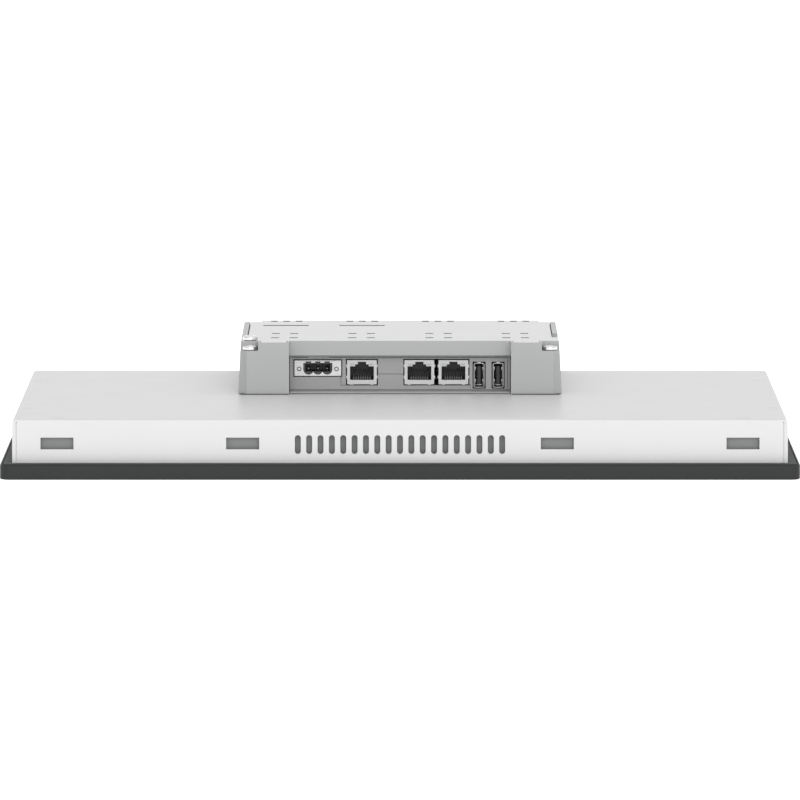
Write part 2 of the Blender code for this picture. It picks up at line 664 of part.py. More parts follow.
def make_display_carrier():
    """A tray with a floor behind the display, walls both ways, and a tab at each cover screw."""
    outer_x = HOUSING_WIDTH / 2 - CARRIER_INSET
    outer_y = HOUSING_HEIGHT / 2 - CARRIER_INSET
    inner_x = outer_x - CARRIER_SHEET
    inner_y = outer_y - CARRIER_SHEET

    shape = bmesh.new()
    centred_box(shape, 2 * outer_x, 2 * outer_y, HOUSING_FRONT, CARRIER_WALL_TOP)
    carrier = piece("display_carrier", shape, ZINC)
    hollows = bmesh.new()
    centred_box(hollows, 2 * inner_x, 2 * inner_y, 0.0, CARRIER_FRONT)
    centred_box(hollows, 2 * inner_x, 2 * inner_y, CARRIER_BACK, HOUSING_BACK)
    cut(carrier, hollows)

    tabs = bmesh.new()
    flange_low = TAB_TOP - CARRIER_SHEET
    half = TAB_WIDTH / 2
    for x, y, _ in tab_holes():
        if abs(y) > SCREW_Y_SIDE:
            side = math.copysign(1.0, y)
            outer = (x - half, side * outer_y, CARRIER_WALL_TOP - MM)
            inner = (x + half, side * inner_y, TAB_TOP)
            reach = (x + half, side * (outer_y - TAB_REACH), TAB_TOP)
            start = (x - half, side * outer_y, flange_low)
        else:
            side = math.copysign(1.0, x)
            outer = (side * outer_x, y - half, CARRIER_WALL_TOP - MM)
            inner = (side * inner_x, y + half, TAB_TOP)
            reach = (side * (outer_x - TAB_REACH), y + half, TAB_TOP)
            start = (side * outer_x, y - half, flange_low)
        uprights = bmesh.new()
        add_box(uprights, outer, inner)
        join(carrier, uprights)
        add_box(tabs, start, reach)
    join(carrier, tabs)

    posts = bmesh.new()
    for x in (-1, 1):
        for y in (-1, 1):
            post_x = x * (INTERFACE_WIDTH / 2 - BOARD_MARGIN)
            post_y = CABLE_Y + y * (INTERFACE_HEIGHT / 2 - BOARD_MARGIN)
            low = CARRIER_FRONT + CARRIER_SHEET / 2
            high = CARRIER_BACK + INTERFACE_STANDOFF
            add_cylinder(posts, post_x, post_y, low, high, STANDOFF_RADIUS, sides=12)
    join(carrier, posts)

    holes = bmesh.new()
    for x, y, radius in tab_holes():
        add_cylinder(holes, x, y, flange_low - MM, TAB_TOP + MM, radius, sides=12)
    cut(carrier, holes)


# Screws

def screw_profile(head, shank_radius, length, drive_radius, drive_depth):
    """Half section of a screw, from its drive recess down to its point. The head's seat is Z = 0."""
    top = max(z for _, z in head)
    profile = [(0.0, top - drive_depth), (drive_radius, top - drive_depth)]
    profile += [(drive_radius, top)] + head
    profile += [(shank_radius, 0.0), (shank_radius, -length), (0.0, -length)]
    return profile


def turned_piece(name, profile, place, surface, steps=16):
    """A half section at +X, turned round Z at this place."""
    shape = bmesh.new()
    verts = [shape.verts.new((x, 0.0, z)) for x, z in profile]
    for start, end in zip(verts, verts[1:]):
        shape.edges.new((start, end))
    mesh = bpy.data.meshes.new(name)
    shape.to_mesh(mesh)
    shape.free()
    made = bpy.data.objects.new(name, mesh)
    parts.objects.link(made)
    made.location = place
    made.data.materials.append(surface)
    turn = made.modifiers.new("turn", "SCREW")
    turn.axis = "Z"
    turn.steps = steps
    turn.render_steps = steps
    turn.use_merge_vertices = True
    turn.merge_threshold = 0.00001
    turn.use_smooth_shade = False
    return made


def make_screws():
    seat_radius = COVER_HEAD_RADIUS - COVER_HEAD_DEPTH
    head = [(COVER_HEAD_RADIUS, COVER_HEAD_DEPTH), (seat_radius, 0.0)]
    cover = screw_profile(
        head, COVER_SHANK_RADIUS, COVER_SCREW_LENGTH, DRIVE_RADIUS, DRIVE_DEPTH
    )
    seat = HOUSING_BACK - COVER_HEAD_DEPTH
    for number, (x, y) in enumerate(cover_screw_places(), 1):
        turned_piece(f"cover_screw_{number:02d}", cover, (x, y, seat), SCREW_STEEL)

    crown = 0.7 * PAN_HEAD_HEIGHT
    pan = [
        (0.75 * PAN_HEAD_RADIUS, PAN_HEAD_HEIGHT),
        (PAN_HEAD_RADIUS, crown),
        (PAN_HEAD_RADIUS, 0.0),
    ]
    seat = CORNER_FLOOR + CLEAR
    length = seat - COVER_UNDER + THREAD_REACH
    corner = screw_profile(pan, M4_SHANK_RADIUS, length, DRIVE_RADIUS, DRIVE_DEPTH)
    for number, (x, y) in enumerate(corner_screw_places(), 1):
        turned_piece(f"module_screw_{number}", corner, (x, y, seat), SCREW_STEEL)

    earth = screw_profile(
        pan, M4_SHANK_RADIUS, EARTH_SCREW_LENGTH, DRIVE_RADIUS, DRIVE_DEPTH
    )
    turned_piece("earth_screw", earth, (*EARTH_PLACE, MODULE_TOP + CLEAR), SCREW_STEEL)


# Module: base plate, housing and lid

def make_module_base():
    half = MODULE_HALF - MODULE_WALL - CLEAR
    front = MODULE_FRONT_Y + BASE_LIP_SETBACK
    back = MODULE_BACK_Y - MODULE_WALL - CLEAR
    shape = bmesh.new()
    lip_half = BAY_HALF - CLEAR
    add_box(shape, (-lip_half, front, MODULE_BASE), (lip_half, back, BASE_TOP))
    base = piece("module_base_plate", shape, ZINC)

    wings = bmesh.new()
    wing_front = MODULE_FRONT_Y + COLUMN_DEPTH + CLEAR
    wing_back = back - CORNER_NOTCH_Y
    for side in (-1, 1):
        low = (side * (lip_half - MM), wing_front, MODULE_BASE)
        high = (side * half, wing_back, BASE_TOP)
        add_box(wings, low, high)
    join(base, wings)

    posts = bmesh.new()
    for x, y in board_post_places():
        low = MODULE_BASE + BASE_SHEET / 2
        add_cylinder(posts, x, y, low, BOARD_LOW - CLEAR, STANDOFF_RADIUS, sides=12)
    join(base, posts)
    port = bmesh.new()
    width, height = CABLE_PORT
    centred_box(port, width, height, MODULE_BASE - MM, BASE_TOP + MM, (0.0, CABLE_Y))
    cut(base, port)


def board_corners():
    """Lowest and highest X and Y of the main board."""
    half = MODULE_HALF - MODULE_WALL - CORNER_NOTCH_X - BOARD_MARGIN
    front = PANEL_BACK_Y + BAY_WALL + CLEAR
    return -half, front, half, MODULE_BACK_Y - MODULE_WALL - BOARD_MARGIN


def board_post_places():
    """The four standoffs under the main board's corners, behind the connectors."""
    left, _, right, back = board_corners()
    near = FACE_Y + RJ45_DEPTH + BOARD_MARGIN + STANDOFF_RADIUS
    far = back - BOARD_MARGIN
    x = right - BOARD_MARGIN
    return [(-x, near), (x, near), (-x, far), (x, far)]


def make_module_housing():
    shape = bmesh.new()
    low = (-MODULE_HALF, MODULE_FRONT_Y, MODULE_BASE)
    high = (MODULE_HALF, MODULE_BACK_Y, MODULE_TOP)
    verts = add_box(shape, low, high)
    round_upright_edges(shape, verts, MODULE_CORNER, 1)
    for vert in shape.verts:
        if vert.co.z < BASE_TOP and abs(vert.co.x) > MODULE_HALF - MM / 2:
            vert.co.x = math.copysign(FOOT_HALF, vert.co.x)
    bmesh.ops.triangulate(shape, faces=shape.faces)
    body = piece("module_housing", shape, GREY_COAT)

    # The hollow runs round the corner columns, and over the bay as far as the header.
    hollow = bmesh.new()
    side = MODULE_HALF - MODULE_WALL
    column_front = MODULE_FRONT_Y + COLUMN_DEPTH
    column_back = MODULE_BACK_Y - MODULE_WALL - CORNER_NOTCH_Y
    bottom, top = MODULE_BASE - MM, MODULE_TOP + MM
    add_box(hollow, (-side, column_front, bottom), (side, column_back, top))
    cut(body, hollow)
    middle = bmesh.new()
    column_x = side - CORNER_NOTCH_X
    back = MODULE_BACK_Y - MODULE_WALL
    add_box(middle, (-column_x, PANEL_BACK_Y + BAY_WALL, bottom), (column_x, back, top))
    cut(body, middle)
    cheeks = bmesh.new()
    for end in (-1, 1):
        low = (end * (BAY_HALF + BAY_WALL), MODULE_FRONT_Y + BAY_WALL, bottom)
        high = (end * column_x, column_front + MM, top)
        add_box(cheeks, low, high)
    cut(body, cheeks)
    header = bmesh.new()
    header_back = MODULE_FRONT_Y + HEADER_SETBACK + BAY_WALL
    low = (-BAY_HALF - BAY_WALL - MM, header_back, BAY_TOP + FRAME_BAND)
    high = (BAY_HALF + BAY_WALL + MM, column_front + MM, top)
    add_box(header, low, high)
    cut(body, header)

    bay = bmesh.new()
    low = (-BAY_HALF, MODULE_FRONT_Y - MM, bottom)
    add_box(bay, low, (BAY_HALF, column_front, BAY_TOP))
    cut(body, bay)
    above = bmesh.new()
    low = (-BAY_HALF, MODULE_FRONT_Y - MM, BAY_TOP - MM)
    add_box(above, low, (BAY_HALF, MODULE_FRONT_Y + HEADER_SETBACK, top))
    cut(body, above)

    # The top is lowered for the lid, except at its front edge and the two rails beside it.
    rail_x = MODULE_HALF - RAIL_WIDTH
    lip_x = MODULE_HALF - CORNER_NOTCH_X - LIP_WIDTH
    lowered = bmesh.new()
    low = (-rail_x, LID_MAIN_Y, BODY_TOP)
    add_box(lowered, low, (rail_x, MODULE_BACK_Y + MM, top))
    cut(body, lowered)
    cheek_tops = bmesh.new()
    for end in (-1, 1):
        low = (end * (BAY_HALF + LIP_WIDTH), MODULE_FRONT_Y + LIP_WIDTH, BODY_TOP)
        add_box(cheek_tops, low, (end * lip_x, LID_MAIN_Y + MM, top))
    cut(body, cheek_tops)
    ends = bmesh.new()
    rail_end = MODULE_BACK_Y - CORNER_NOTCH_Y
    for end, start in ((-1, RAIL_START_LEFT), (1, RAIL_START_RIGHT)):
        outer = end * (MODULE_HALF + MM)
        inner = end * (rail_x - MM)
        near = (inner, LID_MAIN_Y, BODY_TOP)
        add_box(ends, near, (outer, MODULE_FRONT_Y + start, top))
        add_box(ends, (inner, rail_end, BODY_TOP), (outer, MODULE_BACK_Y + MM, top))
    cut(body, ends)
    pocket = bmesh.new()
    low = (rail_x + CLEAR, MODULE_FRONT_Y + POCKET_START, BODY_TOP - POCKET_DEPTH)
    high = (MODULE_HALF + MM, MODULE_FRONT_Y + RAIL_START_RIGHT, top)
    add_box(pocket, low, high)
    cut(body, pocket)

    corners = bmesh.new()
    for end in (-1, 1):
        notch_x = end * (MODULE_HALF - CORNER_NOTCH_X)
        outer = end * (MODULE_HALF + MM)
        near = (notch_x, MODULE_FRONT_Y - MM, CORNER_FLOOR)
        add_box(corners, near, (outer, MODULE_FRONT_Y + CORNER_NOTCH_Y, top))
        far = (notch_x, MODULE_BACK_Y - CORNER_NOTCH_Y, CORNER_FLOOR)
        add_box(corners, far, (outer, MODULE_BACK_Y + MM, top))
    cut(body, corners)

    holes = bmesh.new()
    for x, y in corner_screw_places():
        add_cylinder(holes, x, y, bottom, top, M4_HOLE_RADIUS, sides=16)
    bottom_of_thread = MODULE_TOP - EARTH_SCREW_LENGTH - THREAD_REACH
    add_cylinder(holes, *EARTH_PLACE, bottom_of_thread, top, M4_HOLE_RADIUS, sides=16)
    cut(body, holes)


def make_module_lid():
    shape = bmesh.new()
    low = (-MODULE_HALF, MODULE_FRONT_Y + LIP_WIDTH + CLEAR, LID_UNDER)
    verts = add_box(shape, low, (MODULE_HALF, MODULE_BACK_Y, MODULE_TOP))
    round_upright_edges(shape, verts, MODULE_CORNER, 1)
    lid = piece("module_lid", shape, LIGHT_COAT)

    notches = bmesh.new()
    bottom, top = LID_UNDER - MM, MODULE_TOP + MM
    room = LIP_WIDTH + CLEAR
    main_y = LID_MAIN_Y + CLEAR
    low = (-BAY_HALF - room, MODULE_FRONT_Y - MM, bottom)
    add_box(notches, low, (BAY_HALF + room, main_y, top))
    for end in (-1, 1):
        notch_x = end * (MODULE_HALF - CORNER_NOTCH_X)
        outer = end * (MODULE_HALF + MM)
        near = (notch_x - end * room, MODULE_FRONT_Y - MM, bottom)
        add_box(notches, near, (outer, main_y, top))
        far = (notch_x, MODULE_BACK_Y - CORNER_NOTCH_Y, bottom)
        add_box(notches, far, (outer, MODULE_BACK_Y + MM, top))
    cut(lid, notches)
    sides = bmesh.new()
    for end, start in ((-1, RAIL_START_LEFT), (1, POCKET_START)):
        inner = end * (MODULE_HALF - RAIL_WIDTH - CLEAR)
        near = (inner, MODULE_FRONT_Y + start - CLEAR, bottom)
        far = (end * (MODULE_HALF + MM), MODULE_BACK_Y - CORNER_NOTCH_Y + MM, top)
        add_box(sides, near, far)
    cut(lid, sides)

    openings = bmesh.new()
    for index, x in enumerate(LID_GROUP_X):
        row = MODULE_FRONT_Y + LID_VENT_SETBACK
        for step in (-1, 0, 1):
            place = (x + step * LID_VENT_PITCH, row)
            centred_box(openings, *LID_VENT_SIZE, bottom, top, place)
        if index < 2:
            place = (x, MODULE_FRONT_Y + LID_SLOT_SETBACK)
            centred_box(openings, *LID_SLOT_SIZE, bottom, top, place)
        for setback in LID_HOLE_SETBACKS:
            for step in (-1, 1):
                place = (x + step * LID_HOLE_SPREAD, MODULE_FRONT_Y + setback)
                centred_box(openings, *LID_HOLE_SIZE, bottom, top, place)
    add_cylinder(openings, *EARTH_PLACE, bottom, top, M4_HOLE_RADIUS, sides=16)
    cut(lid, openings)


# Connector bay

def make_connector_panel():
    half = BAY_HALF - CLEAR
    low_z = BASE_TOP + CLEAR
    high_z = BAY_TOP - CLEAR - FRAME_TOP_BAND - PANEL_DROP
    panel = box_piece(
        "connector_panel", (-half, PANEL_Y, low_z), (half, PANEL_BACK_Y, high_z), GREY_COAT
    )
    openings = bmesh.new()
    front, back = PANEL_Y - MM, PANEL_BACK_Y + MM
    gap = CONNECTOR_GAP
    half_flange = POWER_FLANGE_WIDTH / 2 + gap
    low = (POWER_X - half_flange, front, POWER_FLANGE_LOW - gap)
    add_box(openings, low, (POWER_X + half_flange, back, POWER_FLANGE_HIGH + gap))
    half_jack = RJ45_WIDTH / 2 + gap
    for first, last in ((RJ45_X[0], RJ45_X[0]), (RJ45_X[1], RJ45_X[2])):
        low = (first - half_jack, front, RJ45_LOW - gap)
        add_box(openings, low, (last + half_jack, back, RJ45_HIGH + gap))
    half_usb = USB_WIDTH / 2 + gap
    low_usb = max(USB_LOW - gap, low_z + CLEAR)
    for x in USB_X:
        add_box(openings, (x - half_usb, front, low_usb), (x + half_usb, back, USB_HIGH + gap))
    cut(panel, openings)


def make_bay_frame():
    half = BAY_HALF - CLEAR
    back = PANEL_Y - CLEAR
    front = back - FRAME_SHEET
    top = BAY_TOP - CLEAR
    bottom = BASE_TOP + CLEAR
    frame = box_piece("bay_frame", (-half, front, bottom), (half, back, top), GREY_COAT)
    opening = bmesh.new()
    inner = half - FRAME_BAND
    add_box(opening, (-inner, front - MM, bottom - MM), (inner, back + MM, top - FRAME_TOP_BAND))
    cut(frame, opening)
    tab = bmesh.new()
    half_tab = FRAME_TAB_WIDTH / 2
    low = (FRAME_TAB_X - half_tab, front, top - FRAME_TOP_BAND - FRAME_TAB_DROP)
    add_box(tab, low, (FRAME_TAB_X + half_tab, back, top - FRAME_TOP_BAND / 2))
    join(frame, tab)


def header_bar(grow, front, back):
    """The middle of the power header's outline, grown by a margin."""
    half = 1.5 * POLE_PITCH + grow
    shape = bmesh.new()
    low = (POWER_X - half, front, POWER_AXIS - grow)
    add_box(shape, low, (POWER_X + half, back, POWER_TOP + grow))
    return shape


def header_lobes(grow, front, back):
    """One round lobe under each pole and one square key above it, each its own shape."""
    width, height = POWER_KEY_SIZE
    shapes = []
    for step in (-1, 0, 1):
        x = POWER_X + step * POLE_PITCH
        lobe = bmesh.new()
        add_cylinder_y(lobe, x, POWER_AXIS, front, back, POWER_LOBE_RADIUS + grow)
        key = bmesh.new()
        low = (x - width / 2 - grow, front, POWER_TOP - MM)
        add_box(key, low, (x + width / 2 + grow, back, POWER_TOP + height + grow))
        shapes += [lobe, key]
    return shapes


def make_power_header():
    half = POWER_FLANGE_WIDTH / 2
    front = FACE_Y
    back = front + POWER_FLANGE_THICK
    flange = box_piece(
        "power_flange",
        (POWER_X - half, front, POWER_FLANGE_LOW),
        (POWER_X + half, back, POWER_FLANGE_HIGH),
        PALE_PLASTIC,
    )
    cut(flange, header_bar(CLEAR, front - MM, back + MM))
    for outline in header_lobes(CLEAR, front - MM, back + MM):
        cut(flange, outline)
    step_cut = bmesh.new()
    half_step = 1.5 * POLE_PITCH + 2 * CLEAR
    low = (POWER_X - half_step, front - MM, POWER_FLANGE_HIGH - POWER_STEP_DROP)
    high = (POWER_X + half_step, front + POWER_STEP_DEPTH, POWER_FLANGE_HIGH + MM)
    add_box(step_cut, low, high)
    cut(flange, step_cut)
    nut_holes = bmesh.new()
    for step in (-1, 1):
        x = POWER_X + step * LOCK_NUT_REACH
        radius = LOCK_NUT_RADIUS + CLEAR
        add_cylinder_y(nut_holes, x, LOCK_NUT_Z, front - MM, back + MM, radius, 16)
    cut(flange, nut_holes)

    mouth = front + CLEAR
    end = mouth + POWER_DEPTH
    body = piece("power_socket", header_bar(0.0, mouth, end), BLACK_PLASTIC)
    for outline in header_lobes(0.0, mouth, end):
        join(body, outline)
    cavity = bmesh.new()
    half = 1.5 * POLE_PITCH - POWER_WALL
    low = (POWER_X - half, mouth - MM, POWER_CAVITY_LOW)
    add_box(cavity, low, (POWER_X + half, mouth + POWER_CAVITY_DEPTH, POWER_CAVITY_HIGH))
    cut(body, cavity)

    holes = bmesh.new()
    reach = PIN_SIDE / 2
    centre_z = (POWER_CAVITY_LOW + POWER_CAVITY_HIGH) / 2 - PIN_DROP
    for step in (-1, 0, 1):
        x = POWER_X + step * POLE_PITCH
        low = (x - reach - CLEAR, mouth + POWER_CAVITY_DEPTH - MM, centre_z - reach - CLEAR)
        add_box(holes, low, (x + reach + CLEAR, end + MM, centre_z + reach + CLEAR))
        box_piece(
            f"power_pin_{step + 2}",
            (x - reach, mouth + PIN_SETBACK, centre_z - reach),
            (x + reach, end + MM, centre_z + reach),
            TINPLATE,
        )
    cut(body, holes)

    for number, step in enumerate((-1, 1), 1):
        shape = bmesh.new()
        x = POWER_X + step * LOCK_NUT_REACH
        add_cylinder_y(shape, x, LOCK_NUT_Z, front, back + LOCK_NUT_TAIL, LOCK_NUT_RADIUS, 16)
        nut = piece(f"power_lock_nut_{number}", shape, TINPLATE)
        bore = bmesh.new()
        bore_end = back + LOCK_NUT_BORE_TAIL
        add_cylinder_y(bore, x, LOCK_NUT_Z, front - MM, bore_end, LOCK_NUT_BORE, 12)
        cut(nut, bore)


def jack_opening(shape, x, inset, front, back):
    """The mouth of a network socket, a wide slot. The latch notch over it is made by jack_notches."""
    half = RJ45_MOUTH[0] / 2 - inset
    low = (x - half, front, RJ45_MOUTH_LOW + inset)
    add_box(shape, low, (x + half, back, RJ45_MOUTH_HIGH - inset))


def jack_notches(x, inset, front, back):
    """The two steps of the latch notch, each its own shape."""
    shapes = []
    bottom = RJ45_MOUTH_HIGH - MM
    for width, rise in (RJ45_STEP, RJ45_LATCH):
        shape = bmesh.new()
        half = width / 2 - inset
        top = RJ45_MOUTH_HIGH + rise - inset
        add_box(shape, (x - half, front, bottom), (x + half, back, top))
        shapes.append(shape)
    return shapes


def make_network_sockets():
    for number, x in enumerate(RJ45_X, 1):
        half = RJ45_WIDTH / 2
        back = FACE_Y + RJ45_DEPTH
        shield = box_piece(
            f"rj45_shield_{number}",
            (x - half, FACE_Y, RJ45_LOW),
            (x + half, back, RJ45_HIGH),
            TINPLATE,
        )
        inner = half - RJ45_SHEET
        hollow = bmesh.new()
        low = (x - inner, FACE_Y + RJ45_FACE, RJ45_LOW + RJ45_SHEET)
        add_box(hollow, low, (x + inner, back + MM, RJ45_HIGH - RJ45_SHEET))
        cut(shield, hollow)
        mouth = bmesh.new()
        jack_opening(mouth, x, 0.0, FACE_Y - MM, FACE_Y + RJ45_FACE + MM)
        cut(shield, mouth)
        for notch in jack_notches(x, 0.0, FACE_Y - MM, FACE_Y + RJ45_FACE + MM):
            cut(shield, notch)

        fit = inner - CLEAR
        front = FACE_Y + RJ45_FACE + CLEAR
        insert = box_piece(
            f"rj45_insert_{number}",
            (x - fit, front, RJ45_LOW + RJ45_SHEET + CLEAR),
            (x + fit, back, RJ45_HIGH - RJ45_SHEET - CLEAR),
            BLACK_PLASTIC,
        )
        cavity = bmesh.new()
        end = front + RJ45_CAVITY_DEPTH
        jack_opening(cavity, x, RJ45_CAVITY_INSET, front - MM, end)
        cut(insert, cavity)
        for notch in jack_notches(x, RJ45_CAVITY_INSET, front - MM, end):
            cut(insert, notch)


def make_usb_sockets():
    for number, x in enumerate(USB_X, 1):
        half = USB_WIDTH / 2
        back = FACE_Y + USB_DEPTH
        shell = box_piece(
            f"usb_shell_{number}", (x - half, FACE_Y, USB_LOW), (x + half, back, USB_HIGH), TINPLATE
        )
        inner = half - USB_SHEET
        hollow = bmesh.new()
        low = (x - inner, FACE_Y - MM, USB_LOW + USB_SHEET)
        add_box(hollow, low, (x + inner, back + MM, USB_HIGH - USB_SHEET))
        cut(shell, hollow)

        tongue_half = TONGUE_THICK / 2
        tongue = box_piece(
            f"usb_tongue_{number}",
            (x - tongue_half, FACE_Y + TONGUE_SETBACK, USB_LOW + USB_SHEET + TONGUE_MARGIN),
            (x + tongue_half, back, USB_HIGH - USB_SHEET - TONGUE_MARGIN),
            BLACK_PLASTIC,
        )
        root = bmesh.new()
        fit = inner - CLEAR
        low = (x - fit, back - USB_BACK, USB_LOW + USB_SHEET + CLEAR)
        add_box(root, low, (x + fit, back, USB_HIGH - USB_SHEET - CLEAR))
        join(tongue, root)


# Electronics

def make_boards():
    left, front, right, back = board_corners()
    shape = bmesh.new()
    add_box(shape, (left, front, BOARD_LOW), (right, back, BOARD_HIGH))
    piece("mainboard", shape, BOARD_GREEN)

    middle_y = (front + back) / 2
    chip_low = BOARD_HIGH + CLEAR
    chip_high = chip_low + PROCESSOR_THICK
    shape = bmesh.new()
    centred_box(shape, PROCESSOR_SIDE, PROCESSOR_SIDE, chip_low, chip_high, (0.0, middle_y))
    piece("processor", shape, CHIP)
    shape = bmesh.new()
    low = chip_high + CLEAR
    centred_box(shape, SPREADER_SIDE, SPREADER_SIDE, low, BODY_TOP, (0.0, middle_y))
    piece("heat_spreader", shape, ALUMINIUM)

    holder_x = left / 2
    holder_y = middle_y + SPREADER_SIDE / 4
    holder_side = 2 * (COIN_RADIUS + CLEAR + HOLDER_WALL)
    holder_low = BOARD_LOW - CLEAR - COIN_THICK - HOLDER_WALL - CLEAR
    shape = bmesh.new()
    place = (holder_x, holder_y)
    centred_box(shape, holder_side, holder_side, holder_low, BOARD_LOW - CLEAR, place)
    holder = piece("battery_holder", shape, BLACK_PLASTIC)
    well = bmesh.new()
    well_top = BOARD_LOW - CLEAR - HOLDER_WALL
    add_cylinder(well, *place, holder_low - MM, well_top, COIN_RADIUS + CLEAR, sides=32)
    cut(holder, well)
    shape = bmesh.new()
    cell_high = well_top - CLEAR
    add_cylinder(shape, *place, cell_high - COIN_THICK, cell_high, COIN_RADIUS, sides=32)
    piece("coin_cell", shape, TINPLATE)

    shape = bmesh.new()
    place = (0.0, CABLE_Y)
    centred_box(shape, INTERFACE_WIDTH, INTERFACE_HEIGHT, INTERFACE_LOW, INTERFACE_HIGH, place)
    piece("interface_board", shape, BOARD_GREEN)


def make_display_cable():
    """A flat cable through the cover, between a socket on each board."""
    width, depth, height = CABLE_SOCKET
    low_socket = INTERFACE_HIGH + CLEAR
    high_socket = BOARD_LOW - CLEAR - height
    place = (0.0, CABLE_Y)
    for name, bottom in (("interface_socket", low_socket), ("mainboard_socket", high_socket)):
        shape = bmesh.new()
        centred_box(shape, width, depth, bottom, bottom + height, place)
        piece(name, shape, PALE_PLASTIC)

    start = low_socket + height + CLEAR
    rise = high_socket - CLEAR - start
    steps = 12
    shape = bmesh.new()
    verts = []
    for index in range(steps + 1):
        share = index / steps
        sway = CABLE_SWAY * math.sin(math.pi * share) ** 2
        verts.append(shape.verts.new((-CABLE_WIDTH / 2, CABLE_Y + sway, start + share * rise)))
    edges = [shape.edges.new(pair) for pair in zip(verts, verts[1:])]
    made = bmesh.ops.extrude_edge_only(shape, edges=edges)
    moved = [item for item in made["geom"] if isinstance(item, bmesh.types.BMVert)]
    bmesh.ops.translate(shape, verts=moved, vec=(CABLE_WIDTH, 0.0, 0.0))
    ribbon = piece("display_cable", shape, RIBBON)
    wall = ribbon.modifiers.new("thickness", "SOLIDIFY")
    wall.thickness = CABLE_THICK
    wall.offset = 0.0


make_front_bezel()
make_glass_stack()
make_display()
make_gasket()
make_rear_housing()
make_display_carrier()
make_screws()
make_module_base()
make_module_housing()
make_module_lid()
make_connector_panel()
make_bay_frame()
make_power_header()
make_network_sockets()
make_usb_sockets()
make_boards()
make_display_cable()
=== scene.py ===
import math

import bmesh
import bpy
from mathutils import Matrix, Vector


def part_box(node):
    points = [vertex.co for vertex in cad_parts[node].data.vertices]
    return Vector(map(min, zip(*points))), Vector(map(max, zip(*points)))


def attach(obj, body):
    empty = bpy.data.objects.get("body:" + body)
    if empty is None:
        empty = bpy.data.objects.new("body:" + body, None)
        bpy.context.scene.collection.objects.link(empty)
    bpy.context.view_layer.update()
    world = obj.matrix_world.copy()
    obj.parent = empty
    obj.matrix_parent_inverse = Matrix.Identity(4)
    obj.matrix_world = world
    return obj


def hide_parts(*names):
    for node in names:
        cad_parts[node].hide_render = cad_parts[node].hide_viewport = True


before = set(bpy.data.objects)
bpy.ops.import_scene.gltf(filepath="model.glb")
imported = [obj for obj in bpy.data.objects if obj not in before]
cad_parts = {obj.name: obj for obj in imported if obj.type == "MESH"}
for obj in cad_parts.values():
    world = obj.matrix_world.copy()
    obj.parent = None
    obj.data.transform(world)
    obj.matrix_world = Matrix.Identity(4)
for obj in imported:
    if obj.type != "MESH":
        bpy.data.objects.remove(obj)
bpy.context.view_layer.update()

# Studio. The panel lies on its front on a bright pale floor, seen almost level through a long lens from
# the side its connectors face. The sky is white and falls off to the left and right, and one broad
# soft light stands behind the camera.
scene = bpy.context.scene
scene.view_settings.view_transform = "Standard"

lens = bpy.data.cameras.new("long_lens")
lens.sensor_width = 36.0
lens.lens = 372.44
lens.clip_start = 0.1
lens.clip_end = 60.0
camera = bpy.data.objects.new("camera", lens)
camera.location = (0.0, -4.47438, 0.50213)
camera.rotation_euler = (math.radians(83.955), 0.0, 0.0)
scene.collection.objects.link(camera)
scene.camera = camera

FLOOR_HALF = 30.0
FLOOR_GLOW = 0.62
FLOOR_LEVEL = -0.00005  # just under the frame's front face
floor_shape = bmesh.new()
bmesh.ops.create_grid(floor_shape, x_segments=1, y_segments=1, size=FLOOR_HALF)
floor_mesh = bpy.data.meshes.new("floor")
floor_shape.to_mesh(floor_mesh)
floor_shape.free()
floor = bpy.data.objects.new("floor", floor_mesh)
floor.location.z = FLOOR_LEVEL
scene.collection.objects.link(floor)
pale = bpy.data.materials.new("pale_floor")
pale.use_nodes = True
pale_shader = pale.node_tree.nodes["Principled BSDF"]
pale_shader.inputs["Base Color"].default_value = (0.9, 0.9, 0.9, 1.0)
pale_shader.inputs["Roughness"].default_value = 1.0
pale_shader.inputs["Specular IOR Level"].default_value = 0.0
pale_shader.inputs["Emission Color"].default_value = (1.0, 1.0, 1.0, 1.0)
pale_shader.inputs["Emission Strength"].default_value = FLOOR_GLOW
floor_mesh.materials.append(pale)

SKY_FRONT = 1.15
SKY_LEFT = 0.5
SKY_RIGHT = 0.68
sky = bpy.data.worlds.new("studio_sky")
sky.use_nodes = True
scene.world = sky
sky_nodes = sky.node_tree.nodes
sky_links = sky.node_tree.links
direction = sky_nodes.new("ShaderNodeTexCoord")
split = sky_nodes.new("ShaderNodeSeparateXYZ")
across = sky_nodes.new("ShaderNodeFloatCurve")
across.mapping.use_clip = False
curve = across.mapping.curves[0]
curve.points[0].location = (0.0, SKY_LEFT)
curve.points[1].location = (1.0, SKY_RIGHT)
for place_across, level in ((0.25, SKY_FRONT * 0.86), (0.5, SKY_FRONT), (0.75, SKY_FRONT * 0.93)):
    curve.points.new(place_across, level)
across.mapping.update()
halfway = sky_nodes.new("ShaderNodeMapRange")
halfway.inputs["From Min"].default_value = -1.0
sky_links.new(direction.outputs["Generated"], split.inputs["Vector"])
sky_links.new(split.outputs["X"], halfway.inputs["Value"])
sky_links.new(halfway.outputs["Result"], across.inputs["Value"])
sky_links.new(across.outputs["Value"], sky_nodes["Background"].inputs["Strength"])
sky_nodes["Background"].inputs["Color"].default_value = (1.0, 1.0, 1.0, 1.0)

lamp = bpy.data.lights.new("behind_camera", "SUN")
lamp.energy = 0.92
lamp.angle = math.radians(40.0)
light = bpy.data.objects.new("behind_camera", lamp)
light.rotation_euler = (math.radians(66.0), 0.0, math.radians(6.0))
scene.collection.objects.link(light)


# Front frame. Die-cast aluminium with a fine dark powder coat. It stands out all round the housing as a
# flange that the gasket lies on, and its pocket holds the glass.
MM = 0.001


